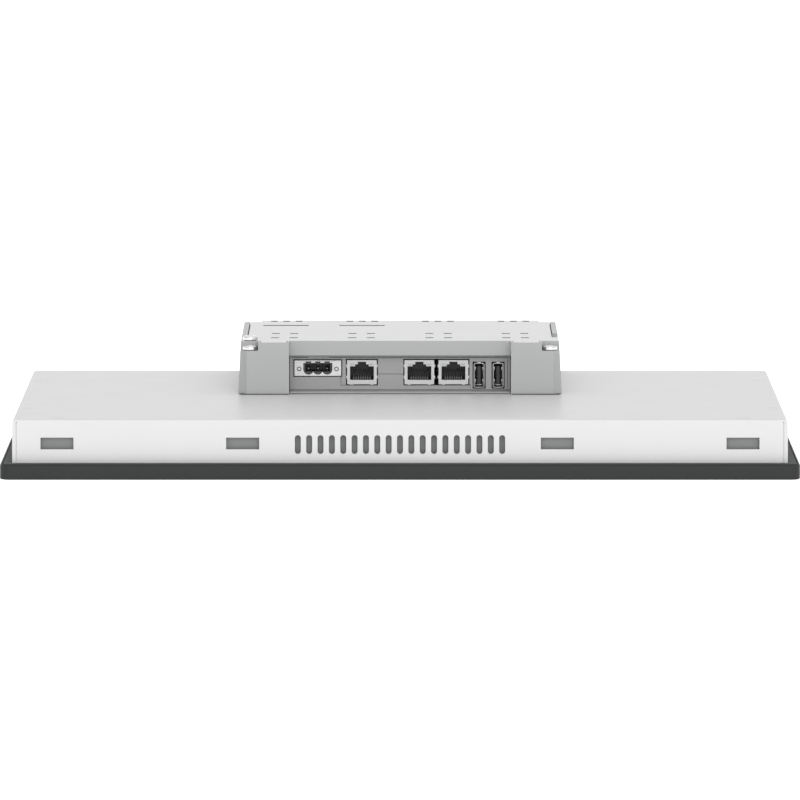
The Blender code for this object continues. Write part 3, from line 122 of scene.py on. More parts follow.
def coated(name, colour, roughness, grain, depth, metallic=0.0, mottle=0.03, sheen=0.5):
    """A surface with a fine grain of this size and depth, and slow slight changes of tone and gloss."""
    made = bpy.data.materials.new(name)
    made.use_nodes = True
    nodes = made.node_tree.nodes
    links = made.node_tree.links
    shader = nodes["Principled BSDF"]
    shader.inputs["Metallic"].default_value = metallic
    shader.inputs["Specular IOR Level"].default_value = sheen
    place = nodes.new("ShaderNodeTexCoord")
    slow = nodes.new("ShaderNodeTexNoise")
    slow.inputs["Scale"].default_value = 35.0
    slow.inputs["Detail"].default_value = 4.0
    fine = nodes.new("ShaderNodeTexNoise")
    fine.inputs["Scale"].default_value = 1.0 / grain
    fine.inputs["Detail"].default_value = 2.0
    tone = nodes.new("ShaderNodeMix")
    tone.data_type = "RGBA"
    tone.inputs["A"].default_value = (*[value * (1.0 - mottle) for value in colour], 1.0)
    tone.inputs["B"].default_value = (*[value * (1.0 + mottle) for value in colour], 1.0)
    gloss = nodes.new("ShaderNodeMapRange")
    gloss.inputs["To Min"].default_value = roughness - 0.06
    gloss.inputs["To Max"].default_value = roughness + 0.06
    bump = nodes.new("ShaderNodeBump")
    bump.inputs["Strength"].default_value = 0.5
    bump.inputs["Distance"].default_value = depth
    links.new(place.outputs["Object"], slow.inputs["Vector"])
    links.new(place.outputs["Object"], fine.inputs["Vector"])
    links.new(slow.outputs["Fac"], tone.inputs["Factor"])
    links.new(tone.outputs["Result"], shader.inputs["Base Color"])
    links.new(slow.outputs["Fac"], gloss.inputs["Value"])
    links.new(gloss.outputs["Result"], shader.inputs["Roughness"])
    links.new(fine.outputs["Fac"], bump.inputs["Height"])
    links.new(bump.outputs["Normal"], shader.inputs["Normal"])
    return made


def merged_copy(node):
    """A CAD node's shape with its loose triangles joined into whole flat faces."""
    shape = bmesh.new()
    shape.from_mesh(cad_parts[node].data)
    bmesh.ops.remove_doubles(shape, verts=shape.verts, dist=0.01 * MM)
    flat = math.radians(0.5)
    bmesh.ops.dissolve_limit(shape, angle_limit=flat, verts=shape.verts, edges=shape.edges)
    return shape


def soften(shape, radius, segments=2, least=30.0):
    """Rounds every edge that turns by more than this many degrees."""
    sharp = []
    for edge in shape.edges:
        if len(edge.link_faces) == 2 and edge.calc_face_angle() > math.radians(least):
            sharp.append(edge)
    bmesh.ops.bevel(
        shape, geom=sharp, offset=radius, segments=segments, profile=0.5,
        affect="EDGES", clamp_overlap=True, material=-1,
    )


FLAT_AREA = 25.0 * MM * MM


def fit_piece(name, shape, surface, slot, *replaced):
    """A finished piece of the panel, in its place, that stands for these CAD nodes."""
    mesh = bpy.data.meshes.new(name)
    shape.to_mesh(mesh)
    shape.free()
    mesh.materials.append(surface)
    mesh.shade_smooth()
    mesh.set_sharp_from_angle(angle=math.radians(40.0))
    for polygon in mesh.polygons:
        if polygon.area > FLAT_AREA:
            polygon.use_smooth = False
    made = bpy.data.objects.new(name, mesh)
    scene.collection.objects.link(made)
    even = made.modifiers.new("flat_faces_first", "WEIGHTED_NORMAL")
    even.keep_sharp = True
    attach(made, "root")
    if replaced:
        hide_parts(*replaced)
    return made


dark_coat = coated("dark_frame_coat", (0.0185, 0.0198, 0.0193), 0.55, 0.35 * MM, 0.02 * MM, sheen=0.25)
shape = merged_copy("front_bezel")
soften(shape, 0.15 * MM)
fit_piece("front_frame", shape, dark_coat, "bezel_coat", "front_bezel")

# Touch glass. Chemically hardened glass with polished edges, printed black on its back round the
# display's window. Black foam tape holds it in the frame, and a clear sensor film lies behind it.
glass = bpy.data.materials.new("printed_glass")
glass.use_nodes = True
nodes = glass.node_tree.nodes
links = glass.node_tree.links
shader = nodes["Principled BSDF"]
shader.inputs["Roughness"].default_value = 0.05
shader.inputs["Coat Weight"].default_value = 0.6
shader.inputs["Coat Roughness"].default_value = 0.02
cell_low, cell_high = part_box("lcd_cell")
window = nodes.new("ShaderNodeVectorMath")
window.operation = "ABSOLUTE"
place = nodes.new("ShaderNodeTexCoord")
sides = nodes.new("ShaderNodeSeparateXYZ")
links.new(place.outputs["Object"], window.inputs[0])
links.new(window.outputs["Vector"], sides.inputs["Vector"])
within = []
WINDOW_MARGIN = 8.0 * MM
for axis, half in (("X", cell_high.x - WINDOW_MARGIN), ("Y", cell_high.y - WINDOW_MARGIN)):
    test = nodes.new("ShaderNodeMath")
    test.operation = "LESS_THAN"
    test.inputs[1].default_value = half
    links.new(sides.outputs[axis], test.inputs[0])
    within.append(test)
both = nodes.new("ShaderNodeMath")
both.operation = "MULTIPLY"
links.new(within[0].outputs["Value"], both.inputs[0])
links.new(within[1].outputs["Value"], both.inputs[1])
print_tone = nodes.new("ShaderNodeMix")
print_tone.data_type = "RGBA"
print_tone.inputs["A"].default_value = (0.004, 0.004, 0.005, 1.0)
print_tone.inputs["B"].default_value = (0.016, 0.018, 0.022, 1.0)
links.new(both.outputs["Value"], print_tone.inputs["Factor"])
links.new(print_tone.outputs["Result"], shader.inputs["Base Color"])
shape = merged_copy("cover_glass")
soften(shape, 0.4 * MM, 3)
fit_piece("touch_glass", shape, glass, "front_glass", "cover_glass")


def dress(node, surface):
    """Gives a CAD node that keeps its own shape a finished surface."""
    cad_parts[node].data.materials.clear()
    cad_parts[node].data.materials.append(surface)


# This material is the real black foam tape round the glass, and also the painted shade strips under the
# casting's feet.
foam_and_painted_shade = coated("black_foam_tape_and_painted_shade", (0.02, 0.02, 0.02), 0.85, 0.5 * MM, 0.08 * MM)
clear_film = coated("sensor_film", (0.35, 0.38, 0.40), 0.2, 4.0 * MM, 0.01 * MM)
dress("glass_tape", foam_and_painted_shade)
dress("touch_sensor", clear_film)

# Display. A bought-in liquid crystal unit: a dark glass cell over a backlight in a pressed tray.
cell_glass = coated("cell_glass", (0.02, 0.025, 0.03), 0.12, 3.0 * MM, 0.005 * MM)
tray_steel = coated("tray_steel", (0.5, 0.51, 0.52), 0.4, 0.8 * MM, 0.02 * MM, metallic=0.8)
dress("lcd_cell", cell_glass)
dress("lcd_backlight", tray_steel)

# Gasket. A strip of grey closed-cell foam, cut in one piece and stuck to the frame's flange.
grey_foam = coated("grey_gasket_foam", (0.06, 0.063, 0.064), 0.9, 0.45 * MM, 0.12 * MM, mottle=0.1)
shape = merged_copy("panel_gasket")
soften(shape, 0.2 * MM)
fit_piece("foam_gasket", shape, grey_foam, "gasket_foam", "panel_gasket")

# Carrier. A zinc-plated steel tray, folded and welded, that holds the display and takes the cover's
# screws. Its wall shows through the clamp slots and the vents.
plated = coated("zinc_plate", (0.145, 0.152, 0.148), 0.5, 2.2 * MM, 0.015 * MM, metallic=0.25, mottle=0.07)
shape = merged_copy("display_carrier")
soften(shape, 0.25 * MM)
fit_piece("display_tray", shape, plated, "zinc_sheet", "display_carrier")

# Clamp pads. A short steel block is welded to the tray behind each slot, and the clamps that hold the
# panel in its cabinet bear on them.
pad_steel = coated("pad_steel", (0.165, 0.171, 0.168), 0.5, 0.8 * MM, 0.015 * MM, metallic=0.2, mottle=0.06)
housing_low, housing_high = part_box("rear_housing")
tray_low, tray_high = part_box("display_carrier")
PAD_HALF = 12.0 * MM
PAD_THICK = 0.5 * MM
PAD_LOW = 13.0 * MM
PAD_HIGH = 24.5 * MM
OUTER_SLOT_INSET = 23.7 * MM
INNER_SLOT_X = 83.15 * MM
TRAY_CLEAR = 0.02 * MM


def block(shape, low, high, radius, segments=2):
    """A box between two corners with rounded edges, added to a shape."""
    low, high = Vector(low), Vector(high)
    size = high - low
    place = Matrix.Translation((low + high) / 2) @ Matrix.Diagonal((*size, 1.0))
    verts = bmesh.ops.create_cube(shape, size=1.0, matrix=place)["verts"]
    edges = list({edge for vert in verts for edge in vert.link_edges})
    bmesh.ops.bevel(
        shape, geom=edges, offset=radius, segments=segments, profile=0.5,
        affect="EDGES", clamp_overlap=True, material=-1,
    )


shape = bmesh.new()
slot_row = housing_high.x - OUTER_SLOT_INSET
for wall_y, side in ((tray_low.y, -1), (tray_high.y, 1)):
    for slot_x in (-slot_row, -INNER_SLOT_X, INNER_SLOT_X, slot_row):
        near, far = sorted((wall_y + side * TRAY_CLEAR, wall_y + side * PAD_THICK))
        low = (slot_x - PAD_HALF, near, PAD_LOW)
        block(shape, low, (slot_x + PAD_HALF, far, PAD_HIGH), 0.15 * MM)
fit_piece("clamp_pads", shape, pad_steel, "zinc_sheet")

# Rear housing. One sheet of steel, punched, folded down on four sides and powder coated pale grey. Its
# corners are open seams, and the long walls carry the clamp slots and a row of vents.
pale_coat = coated("pale_housing_coat", (0.53, 0.53, 0.53), 0.38, 0.45 * MM, 0.012 * MM, mottle=0.012)
SLOT_ROUND = 0.6 * MM
shape = merged_copy("rear_housing")
slot_corners = []
for edge in shape.edges:
    start, end = (vert.co for vert in edge.verts)
    length = (end - start).length
    through_wall = abs(start.y - end.y) > 0.99 * length and length < 2.0 * MM
    square = len(edge.link_faces) == 2 and edge.calc_face_angle() > math.radians(80.0)
    if through_wall and square and abs(start.x) < housing_high.x - 5.0 * MM:
        slot_corners.append(edge)
bmesh.ops.bevel(
    shape, geom=slot_corners, offset=SLOT_ROUND, segments=4, profile=0.5,
    affect="EDGES", clamp_overlap=True, material=-1,
)
soften(shape, 0.25 * MM)
fit_piece("sheet_housing", shape, pale_coat, "white_coat", "rear_housing")

# Seam beads. Each open corner seam is closed by a thin bead of sealer under the same coat, which leaves
# a soft shallow line.
SEAM_NEAR = 1.98 * MM
SEAM_FAR = 2.42 * MM
BEAD_SINK = 0.22 * MM
BEAD_THICK = 0.6 * MM
BEAD_TOP = 2.0 * MM
shape = bmesh.new()
for end in (-1, 1):
    across = sorted((end * (housing_high.x - SEAM_NEAR), end * (housing_high.x - SEAM_FAR)))
    for side in (-1, 1):
        along = sorted((side * (housing_high.y - BEAD_SINK), side * (housing_high.y - BEAD_THICK)))
        low = (across[0], along[0], housing_low.z + 0.5 * MM)
        block(shape, low, (across[1], along[1], housing_high.z - BEAD_TOP), 0.05 * MM, 1)
fit_piece("seam_beads", shape, pale_coat, "white_coat")


# Cover screws. Countersunk steel screws with six-lobed recesses, turned and plated satin. Ten of them hold
# the cover to the tray inside.
def lathe(shape, rings, centre, steps=48):
    """Turns a half section of (radius, height, depth of lobe) round an upright line, then lobes it."""
    axis = Vector((centre[0], centre[1], 0.0))
    section = [(0.0, rings[0][1], 0.0), *rings, (0.0, rings[-1][1], 0.0)]
    verts = [shape.verts.new(axis + Vector((radius, 0.0, level))) for radius, level, _ in section]
    edges = [shape.edges.new(pair) for pair in zip(verts, verts[1:])]
    bmesh.ops.spin(
        shape, geom=[*verts, *edges], cent=axis, axis=(0.0, 0.0, 1.0), angle=2.0 * math.pi,
        steps=steps, use_merge=True,
    )
    tiny = 0.001 * MM
    bmesh.ops.remove_doubles(shape, verts=shape.verts, dist=tiny)
    lobed = [ring for ring in rings if ring[2] > 0.0]
    for vert in shape.verts:
        arm = Vector((vert.co.x - axis.x, vert.co.y - axis.y, 0.0))
        for radius, level, lobe in lobed:
            if abs(vert.co.z - level) < tiny and abs(arm.length - radius) < tiny:
                vert.co += arm.normalized() * lobe * math.cos(6.0 * math.atan2(arm.y, arm.x))
                break


def face_outwards(shape):
    """Turns the faces of a closed shape outwards."""
    bmesh.ops.recalc_face_normals(shape, faces=shape.faces)
    if shape.calc_volume(signed=True) < 0.0:
        bmesh.ops.reverse_faces(shape, faces=shape.faces)


def turned_steel(name, colour, roughness):
    """Bare metal with the fine grain that turning leaves."""
    return coated(name, colour, roughness, 0.12 * MM, 0.004 * MM, metallic=1.0, mottle=0.05)


satin_steel = turned_steel("satin_screw_steel", (0.60, 0.60, 0.59), 0.45)
COVER_RECESS = 1.15 * MM
COVER_RECESS_DEPTH = 1.0 * MM
COVER_LOBE = 0.18 * MM
COVER_CONE_DEPTH = 1.4 * MM
COVER_SHANK = 1.6 * MM
COVER_POINT = 1.2 * MM
COVER_RIM = 0.12 * MM
for number in range(1, 11):
    node = f"cover_screw_{number:02d}"
    low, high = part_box(node)
    centre = (low + high) / 2
    head = (high.x - low.x) / 2
    shape = bmesh.new()
    lathe(shape, [
        (COVER_RECESS * 0.8, high.z - COVER_RECESS_DEPTH, 0.14 * MM),
        (COVER_RECESS, high.z - 0.1 * MM, COVER_LOBE),
        (COVER_RECESS + 0.1 * MM, high.z, COVER_LOBE),
        (head - COVER_RIM, high.z, 0.0),
        (head, high.z - COVER_RIM, 0.0),
        (head - 1.35 * MM, high.z - COVER_CONE_DEPTH, 0.0),
        (COVER_SHANK, high.z - 1.5 * MM, 0.0),
        (COVER_SHANK, low.z + 0.4 * MM, 0.0),
        (COVER_POINT, low.z, 0.0),
    ], centre)
    face_outwards(shape)
    fit_piece(f"countersunk_screw_{number:02d}", shape, satin_steel, "screw_steel", node)

# Interface board. A glass-fibre board on the tray's standoffs, which drives the display. A flat film
# cable joins it to the main board through the port in the cover.
solder_mask = coated("green_solder_mask", (0.02, 0.12, 0.05), 0.35, 1.2 * MM, 0.02 * MM, mottle=0.2)
nylon = coated("pale_nylon", (0.72, 0.71, 0.68), 0.5, 0.5 * MM, 0.01 * MM)
film = coated("cable_film", (0.74, 0.71, 0.64), 0.4, 1.0 * MM, 0.01 * MM)
dress("interface_board", solder_mask)
dress("interface_socket", nylon)
dress("mainboard_socket", nylon)
dress("display_cable", film)

# Module base. Zinc-plated sheet with four pressed-in standoffs. Its lip shows under the connector bay.
shape = merged_copy("module_base_plate")
lip_grey = coated("lip_coat", (0.33, 0.335, 0.33), 0.5, 0.4 * MM, 0.01 * MM)
soften(shape, 0.2 * MM)
fit_piece("base_plate", shape, lip_grey, "zinc_sheet", "module_base_plate")

# Main board. It hangs over the connectors with the processor on top, under an aluminium spreader that
# passes its heat to the lid. The battery sits underneath in a moulded holder.
package = coated("chip_package", (0.03, 0.03, 0.035), 0.45, 0.3 * MM, 0.01 * MM)
machined = coated("machined_aluminium", (0.76, 0.77, 0.78), 0.3, 0.25 * MM, 0.006 * MM, metallic=1.0)
black_nylon = coated("black_nylon", (0.014, 0.014, 0.014), 0.45, 0.35 * MM, 0.012 * MM)
dress("mainboard", solder_mask)
dress("processor", package)
dress("heat_spreader", machined)
dress("battery_holder", black_nylon)
dress("coin_cell", machined)

# Module housing. Die-cast aluminium with a mid grey coat. The casting has draft on its sides and rounded
# pockets at the corners for its screws, and two rails stand up beside the lid.
cast_grey = coated("cast_grey_coat", (0.368, 0.378, 0.373), 0.45, 0.4 * MM, 0.014 * MM, mottle=0.015)
lid_low, lid_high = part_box("module_lid")
head_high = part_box("module_screw_1")[1]
NOTCH_ROOM = 0.4 * MM
notch_x = -(head_high.x + NOTCH_ROOM)
notch_near = head_high.y + NOTCH_ROOM
notch_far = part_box("module_screw_3")[0].y - NOTCH_ROOM
NOTCH_RADIUS = 3.4 * MM


def round_notches(shape):
    """Rounds the upright inner corner of each screw pocket."""
    corners = []
    for edge in shape.edges:
        first, second = (vert.co for vert in edge.verts)
        middle = (first + second) / 2
        upright = abs(first.z - second.z) > 0.95 * (first - second).length
        near_row = min(abs(middle.y - notch_near), abs(middle.y - notch_far)) < 0.05 * MM
        if upright and near_row and abs(abs(middle.x) - notch_x) < 0.05 * MM:
            corners.append(edge)
    if corners:
        bmesh.ops.bevel(
            shape, geom=corners, offset=NOTCH_RADIUS, segments=5, profile=0.5,
            affect="EDGES", clamp_overlap=True, material=-1,
        )


shape = merged_copy("module_housing")
round_notches(shape)
soften(shape, 0.2 * MM)
fit_piece("cast_housing", shape, cast_grey, "grey_coat", "module_housing")

# Foot shade strips. A thin black strip lies under each foot of the casting. It is painted shade for the
# shadow in the gap under the foot, and shows as a dark line.
casting_low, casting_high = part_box("module_housing")
SHADE_STRIP_PROUD = 1.2 * MM
SHADE_STRIP_DEPTH = 4.0 * MM
SHADE_STRIP_CLEAR = 0.02 * MM
bay_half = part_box("connector_panel")[1].x + 0.3 * MM
shape = bmesh.new()
for side in (-1, 1):
    across = sorted((side * (bay_half + 0.6 * MM), side * (casting_high.x - 1.2 * MM)))
    low = (across[0], casting_low.y - SHADE_STRIP_PROUD, housing_high.z + SHADE_STRIP_CLEAR)
    high = (across[1], casting_low.y + SHADE_STRIP_DEPTH, casting_low.z - SHADE_STRIP_CLEAR)
    block(shape, low, high, 0.05 * MM, 1)
fit_piece("foot_shade_strips", shape, foam_and_painted_shade, "gasket_foam")

# Lid. Folded sheet with a pale coat, punched with rows of vents over the boards. It lies between the
# casting's rails and its corners are cut away round the screws.
lid_coat = coated("pale_lid_coat", (0.56, 0.56, 0.56), 0.4, 0.45 * MM, 0.012 * MM, mottle=0.012)
# The inner walls of the vents take a near-black material. This is painted shade for the dark insides of the
# holes.
painted_vent_shade = coated("painted_vent_shade", (0.10, 0.102, 0.10), 0.6, 0.3 * MM, 0.02 * MM, mottle=0.1)
HOLE_MARGIN_X = 6.0 * MM
HOLE_MARGIN_NEAR = 12.0 * MM
HOLE_MARGIN_FAR = 1.5 * MM
shape = merged_copy("module_lid")
soften(shape, 0.12 * MM, 1)
for face in shape.faces:
    middle = face.calc_center_median()
    across = abs(middle.x) < lid_high.x - HOLE_MARGIN_X
    along = lid_low.y + HOLE_MARGIN_NEAR < middle.y < lid_high.y - HOLE_MARGIN_FAR
    if across and along and abs(face.normal.z) < 0.3:
        face.material_index = 1
lid = fit_piece("sheet_lid", shape, lid_coat, "light_coat", "module_lid")
lid.data.materials.append(painted_vent_shade)

# Corner screws and earth screw. Pan-head steel screws with domed heads and six-lobed recesses. The
# corner ones hold the module to the cover, and the earth screw stands on the lid's edge.
bright_steel = turned_steel("bright_screw_steel", (0.66, 0.66, 0.655), 0.2)
PAN_RECESS = 1.35 * MM
PAN_RECESS_DEPTH = 1.1 * MM
PAN_LOBE = 0.2 * MM
PAN_HEAD_HEIGHT = 2.3 * MM
PAN_DOME = 0.9 * MM
PAN_SHANK = 1.8 * MM
PAN_POINT = 1.4 * MM
PAN_EDGE = 0.15 * MM
DOME_STEPS = 6
for node in ("module_screw_1", "module_screw_2", "module_screw_3", "module_screw_4", "earth_screw"):
    low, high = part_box(node)
    centre = (low + high) / 2
    radius = (high.x - low.x) / 2
    seat = high.z - PAN_HEAD_HEIGHT
    shape = bmesh.new()
    rings = [
        (PAN_RECESS * 0.8, high.z - PAN_RECESS_DEPTH, 0.15 * MM),
        (PAN_RECESS, high.z - 0.15 * MM, PAN_LOBE),
        (PAN_RECESS + 0.15 * MM, high.z, PAN_LOBE),
    ]
    for step in range(DOME_STEPS + 1):
        angle = math.radians(90.0 * step / DOME_STEPS)
        dome = radius - 0.5 * radius * (1.0 - math.sin(angle))
        rings.append((dome, high.z - PAN_DOME * (1.0 - math.cos(angle)), 0.0))
    rings += [
        (radius, seat + PAN_EDGE, 0.0),
        (radius - PAN_EDGE, seat, 0.0),
        (PAN_SHANK, seat, 0.0),
        (PAN_SHANK, low.z + 0.5 * MM, 0.0),
        (PAN_POINT, low.z, 0.0),
    ]
    lathe(shape, rings, centre)
    face_outwards(shape)
    name = node.replace("module", "pan_head").replace("earth", "pan_head_earth")
    fit_piece(name, shape, bright_steel, "screw_steel", node)

# Connector panel. Coated steel sheet, punched for the connectors, that stands inside a frame folded
# round the bay.
panel_coat = coated("panel_coat", (0.305, 0.31, 0.305), 0.5, 0.4 * MM, 0.012 * MM, mottle=0.015)
shape = merged_copy("connector_panel")
soften(shape, 0.1 * MM)
fit_piece("connector_plate", shape, panel_coat, "panel_coat", "connector_panel")

# Panel seams. The two sheets meet at a level gap, and a narrow plate beside the first network socket and
# the plate round the USB sockets are let into them. The gaps between them are painted shade: thin dark
# strips stand just proud of the face along each gap.
painted_seam_shade = coated("painted_seam_shade", (0.075, 0.076, 0.075), 0.7, 0.3 * MM, 0.01 * MM)
face_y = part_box("connector_panel")[0].y
jack_low, jack_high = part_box("rj45_shield_1")
usb_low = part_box("usb_shell_1")[0]
usb_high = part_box("usb_shell_2")[1]
plate_left = jack_low.x - 3.5 * MM
plate_foot = jack_low.z - 0.65 * MM
USB_PLATE_MARGIN = 2.1 * MM
usb_left = usb_low.x - USB_PLATE_MARGIN
usb_right = usb_high.x + USB_PLATE_MARGIN
SEAM = 0.32 * MM
SEAM_PROUD = 0.03 * MM
PARTING_LEVEL = 41.15 * MM
parting_left = jack_high.x + 0.7 * MM
parting_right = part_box("rj45_shield_2")[0].x - 0.7 * MM
shape = bmesh.new()
for low_x, low_z, high_x, high_z in (
    (parting_left, PARTING_LEVEL, parting_right, PARTING_LEVEL + SEAM),
    (plate_left, plate_foot, plate_left + SEAM, jack_high.z),
    (plate_left, plate_foot, jack_low.x - 0.7 * MM, plate_foot + SEAM),
    (usb_right, usb_low.z, usb_right + SEAM, usb_high.z + 1.6 * MM),
    (usb_left, usb_low.z - 0.3 * MM, usb_left + SEAM, usb_low.z + 2.0 * MM),
):
    low = (low_x, face_y - SEAM_PROUD, low_z)
    block(shape, low, (high_x, face_y + 0.2 * MM, high_z), 0.02 * MM, 1)
fit_piece("seam_shade_strips", shape, painted_seam_shade, "panel_coat")

shape = merged_copy("bay_frame")
soften(shape, 0.15 * MM)
fit_piece("bay_surround", shape, panel_coat, "panel_coat", "bay_frame")

# Power header. A three-pole plug-in header: a pale moulded flange with a threaded insert at each end,
# and a black socket with a lobe and a key at each pole, round three tinned pins.
flange_plastic = coated("pale_flange_plastic", (0.66, 0.665, 0.66), 0.45, 0.3 * MM, 0.008 * MM)
tin = coated("tinned_contact", (0.30, 0.30, 0.295), 0.5, 0.2 * MM, 0.004 * MM, metallic=1.0)
header_black = coated("header_black", (0.042, 0.043, 0.042), 0.5, 0.3 * MM, 0.015 * MM)
insert_dark = coated("insert_dark", (0.07, 0.07, 0.069), 0.45, 0.2 * MM, 0.004 * MM, metallic=0.5)
shape = merged_copy("power_flange")
soften(shape, 0.12 * MM)
fit_piece("header_flange", shape, flange_plastic, "pale_plastic", "power_flange")
shape = merged_copy("power_socket")
soften(shape, 0.12 * MM)
fit_piece("header_socket", shape, header_black, "black_plastic", "power_socket")
for number in (1, 2, 3):
    shape = merged_copy(f"power_pin_{number}")
    soften(shape, 0.25 * MM)
    fit_piece(f"header_pin_{number}", shape, tin, "tinplate", f"power_pin_{number}")
INSERT_RINGS = ((1.66 * MM, 0.1 * MM, 0), (1.22 * MM, 0.05 * MM, 1), (0.72 * MM, 0.0, 0))
for number in (1, 2):
    low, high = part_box(f"power_lock_nut_{number}")
    middle = (low + high) / 2
    turn = Matrix.Rotation(math.pi / 2, 4, "X")
    shape = bmesh.new()
    for radius, start, colour in INSERT_RINGS:
        length = high.y - low.y - start
        place = Matrix.Translation((middle.x, low.y + start + length / 2, middle.z)) @ turn
        made = bmesh.ops.create_cone(
            shape, cap_ends=True, segments=32, radius1=radius, radius2=radius, depth=length, matrix=place
        )["verts"]
        for face in {face for vert in made for face in vert.link_faces}:
            face.material_index = colour
    insert = fit_piece(
        f"thread_insert_{number}", shape, flange_plastic, "tinplate", f"power_lock_nut_{number}"
    )
    insert.data.materials.append(insert_dark)


# Network sockets. A tinned steel shield with spring tabs round a black moulding, two light pipes in its
# upper corners and eight sprung contacts that rise from its floor.
def wire(shape, points, width):
    """A flat contact spring of square section along these points, added to a shape."""
    radius = width / math.sqrt(2.0)
    place = Matrix.Translation(points[0]) @ Matrix.Rotation(math.pi / 4, 4, "Z")
    made = bmesh.ops.create_circle(shape, cap_ends=True, segments=4, radius=radius, matrix=place)
    tip = made["verts"][0].link_faces[0]
    for step, (start, end) in enumerate(zip(points, points[1:])):
        grown = bmesh.ops.extrude_face_region(shape, geom=[tip])["geom"]
        grown_tip = next(item for item in grown if isinstance(item, bmesh.types.BMFace))
        bmesh.ops.translate(shape, verts=grown_tip.verts, vec=Vector(end) - Vector(start))
        if step > 0:
            bmesh.ops.delete(shape, geom=[tip], context="FACES_ONLY")
        tip = grown_tip


tinned_shield = coated("tinned_shield", (0.50, 0.505, 0.50), 0.42, 0.5 * MM, 0.01 * MM, metallic=0.35)
jack_black = coated("jack_black", (0.012, 0.012, 0.012), 0.4, 0.3 * MM, 0.01 * MM)
light_pipe = coated("light_pipe", (0.42, 0.43, 0.42), 0.2, 0.5 * MM, 0.004 * MM)
contact_grey = coated("contact_grey", (0.13, 0.132, 0.13), 0.45, 0.2 * MM, 0.003 * MM, metallic=0.4)
CONTACT_PITCH = 1.27 * MM
CONTACT_WIDTH = 0.42 * MM
TAB_LEVELS = (3.95 * MM, 10.05 * MM)
TAB_REACH = 0.5 * MM
TAB_HALF = 0.85 * MM
TAB_LENGTH = 2.0 * MM
TAB_SINK = 0.02 * MM
FOOT_OFFSET = 5.5 * MM
FOOT_HALF = 0.9 * MM
FOOT_REACH = 0.4 * MM
LIGHT_OFFSET = 5.15 * MM
LIGHT_HALF = 1.15 * MM
LIGHT_LOW = 10.3 * MM
LIGHT_HIGH = 11.6 * MM
for number in (1, 2, 3):
    low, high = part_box(f"rj45_shield_{number}")
    middle = (low.x + high.x) / 2
    shape = merged_copy(f"rj45_shield_{number}")
    soften(shape, 0.12 * MM)
    for side in (-1, 1):
        edge_x = middle + side * (high.x - low.x) / 2
        for rise in TAB_LEVELS:
            level = low.z + rise
            tab_low = (edge_x - TAB_REACH, low.y + TAB_SINK, level - TAB_HALF)
            tab_high = (edge_x + TAB_REACH, low.y + TAB_LENGTH, level + TAB_HALF)
            block(shape, tab_low, tab_high, 0.2 * MM)
        foot = middle + side * FOOT_OFFSET
        foot_low = (foot - FOOT_HALF, low.y + TAB_SINK, low.z - FOOT_REACH)
        foot_high = (foot + FOOT_HALF, low.y + TAB_LENGTH, low.z + FOOT_REACH)
        block(shape, foot_low, foot_high, 0.2 * MM)
    fit_piece(f"jack_shield_{number}", shape, tinned_shield, "tinplate", f"rj45_shield_{number}")

    shape = merged_copy(f"rj45_insert_{number}")
    soften(shape, 0.1 * MM)
    fit_piece(f"jack_moulding_{number}", shape, jack_black, "black_plastic", f"rj45_insert_{number}")

    for side, label in ((-1, "left"), (1, "right")):
        shape = bmesh.new()
        x = middle + side * LIGHT_OFFSET
        light_low = (x - LIGHT_HALF, low.y - 0.08 * MM, low.z + LIGHT_LOW)
        block(shape, light_low, (x + LIGHT_HALF, low.y + 0.5 * MM, low.z + LIGHT_HIGH), 0.18 * MM)
        fit_piece(f"jack_light_{number}_{label}", shape, light_pipe, "pale_plastic")

    shape = bmesh.new()
    floor_level = low.z + 2.9 * MM
    for index in range(8):
        x = middle + (index - 3.5) * CONTACT_PITCH
        wire(shape, [
            (x, low.y + 1.4 * MM, floor_level),
            (x, low.y + 1.9 * MM, floor_level + 1.1 * MM),
            (x, low.y + 6.0 * MM, floor_level + 2.6 * MM),
            (x, low.y + 11.0 * MM, floor_level + 4.4 * MM),
        ], CONTACT_WIDTH)
    bmesh.ops.recalc_face_normals(shape, faces=shape.faces)
    fit_piece(f"jack_contacts_{number}", shape, contact_grey, "tinplate")

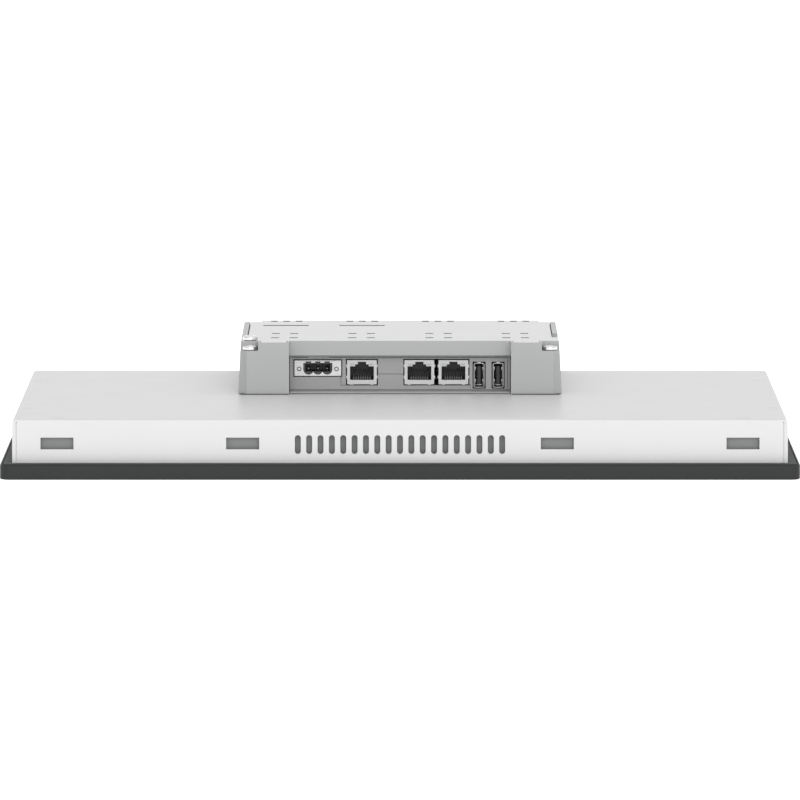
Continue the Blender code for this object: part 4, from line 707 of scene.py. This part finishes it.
# USB sockets. A drawn steel shell with rounded corners and inward springs, stood on its side, round a
# black tongue with four contacts.
shell_steel = coated("shell_steel", (0.34, 0.345, 0.34), 0.32, 0.4 * MM, 0.006 * MM, metallic=0.85)
tongue_black = coated("tongue_black", (0.02, 0.02, 0.02), 0.5, 0.3 * MM, 0.01 * MM)
SHELL_WALL = 0.38 * MM
SHELL_CORNER = 1.0 * MM
SPRING_REACH = 0.8 * MM
SPRING_INSET = 3.4 * MM
SPRING_HALF = 1.0 * MM
for number in (1, 2):
    low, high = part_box(f"usb_shell_{number}")
    middle = (low.x + high.x) / 2
    shape = bmesh.new()
    place = Matrix.Translation((low + high) / 2) @ Matrix.Diagonal((*(high - low), 1.0))
    verts = bmesh.ops.create_cube(shape, size=1.0, matrix=place)["verts"]
    along = []
    for edge in shape.edges:
        first, second = (vert.co for vert in edge.verts)
        if abs(first.y - second.y) > 5.0 * MM:
            along.append(edge)
    bmesh.ops.bevel(
        shape, geom=along, offset=SHELL_CORNER, segments=5, profile=0.5,
        affect="EDGES", clamp_overlap=True, material=-1,
    )
    mouth = [face for face in shape.faces if face.normal.y < -0.9]
    bmesh.ops.inset_region(shape, faces=mouth, thickness=SHELL_WALL)
    deep = bmesh.ops.extrude_face_region(shape, geom=mouth)["geom"]
    deep_verts = [item for item in deep if isinstance(item, bmesh.types.BMVert)]
    bmesh.ops.translate(shape, verts=deep_verts, vec=(0.0, high.y - low.y - 1.0 * MM, 0.0))
    bmesh.ops.delete(shape, geom=[face for face in mouth if face.is_valid], context="FACES_ONLY")
    for side in (-1, 1):
        inner = middle + side * ((high.x - low.x) / 2 - SHELL_WALL)
        near_x, far_x = sorted((inner, inner - side * SPRING_REACH))
        for level in (low.z + SPRING_INSET, high.z - SPRING_INSET):
            spring_low = (near_x, low.y + 2.5 * MM, level - SPRING_HALF)
            spring_high = (far_x, low.y + 7.0 * MM, level + SPRING_HALF)
            block(shape, spring_low, spring_high, 0.2 * MM)
    tab_low = (middle - 1.0 * MM, low.y + 0.3 * MM, high.z - 0.3 * MM)
    block(shape, tab_low, (middle + 1.0 * MM, low.y + 1.6 * MM, high.z + 0.5 * MM), 0.15 * MM)
    bracket_low = (middle - 1.2 * MM, low.y + 0.8 * MM, low.z + 1.2 * MM)
    block(shape, bracket_low, (middle + 1.2 * MM, low.y + 2.0 * MM, low.z + 1.6 * MM), 0.15 * MM)
    fit_piece(f"drawn_shell_{number}", shape, shell_steel, "usb_steel", f"usb_shell_{number}")

    shape = merged_copy(f"usb_tongue_{number}")
    soften(shape, 0.2 * MM)
    fit_piece(f"contact_tongue_{number}", shape, tongue_black, "black_plastic", f"usb_tongue_{number}")
    tongue_low, tongue_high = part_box(f"usb_tongue_{number}")
    shape = bmesh.new()
    face_x = middle - 0.95 * MM
    for index in range(4):
        level = (tongue_low.z + tongue_high.z) / 2 + (index - 1.5) * 2.2 * MM
        strip_low = (face_x - 0.12 * MM, low.y + 2.2 * MM, level - 0.5 * MM)
        block(shape, strip_low, (face_x + 0.1 * MM, low.y + 10.0 * MM, level + 0.5 * MM), 0.04 * MM)
    fit_piece(f"tongue_contacts_{number}", shape, contact_grey, "tinplate")
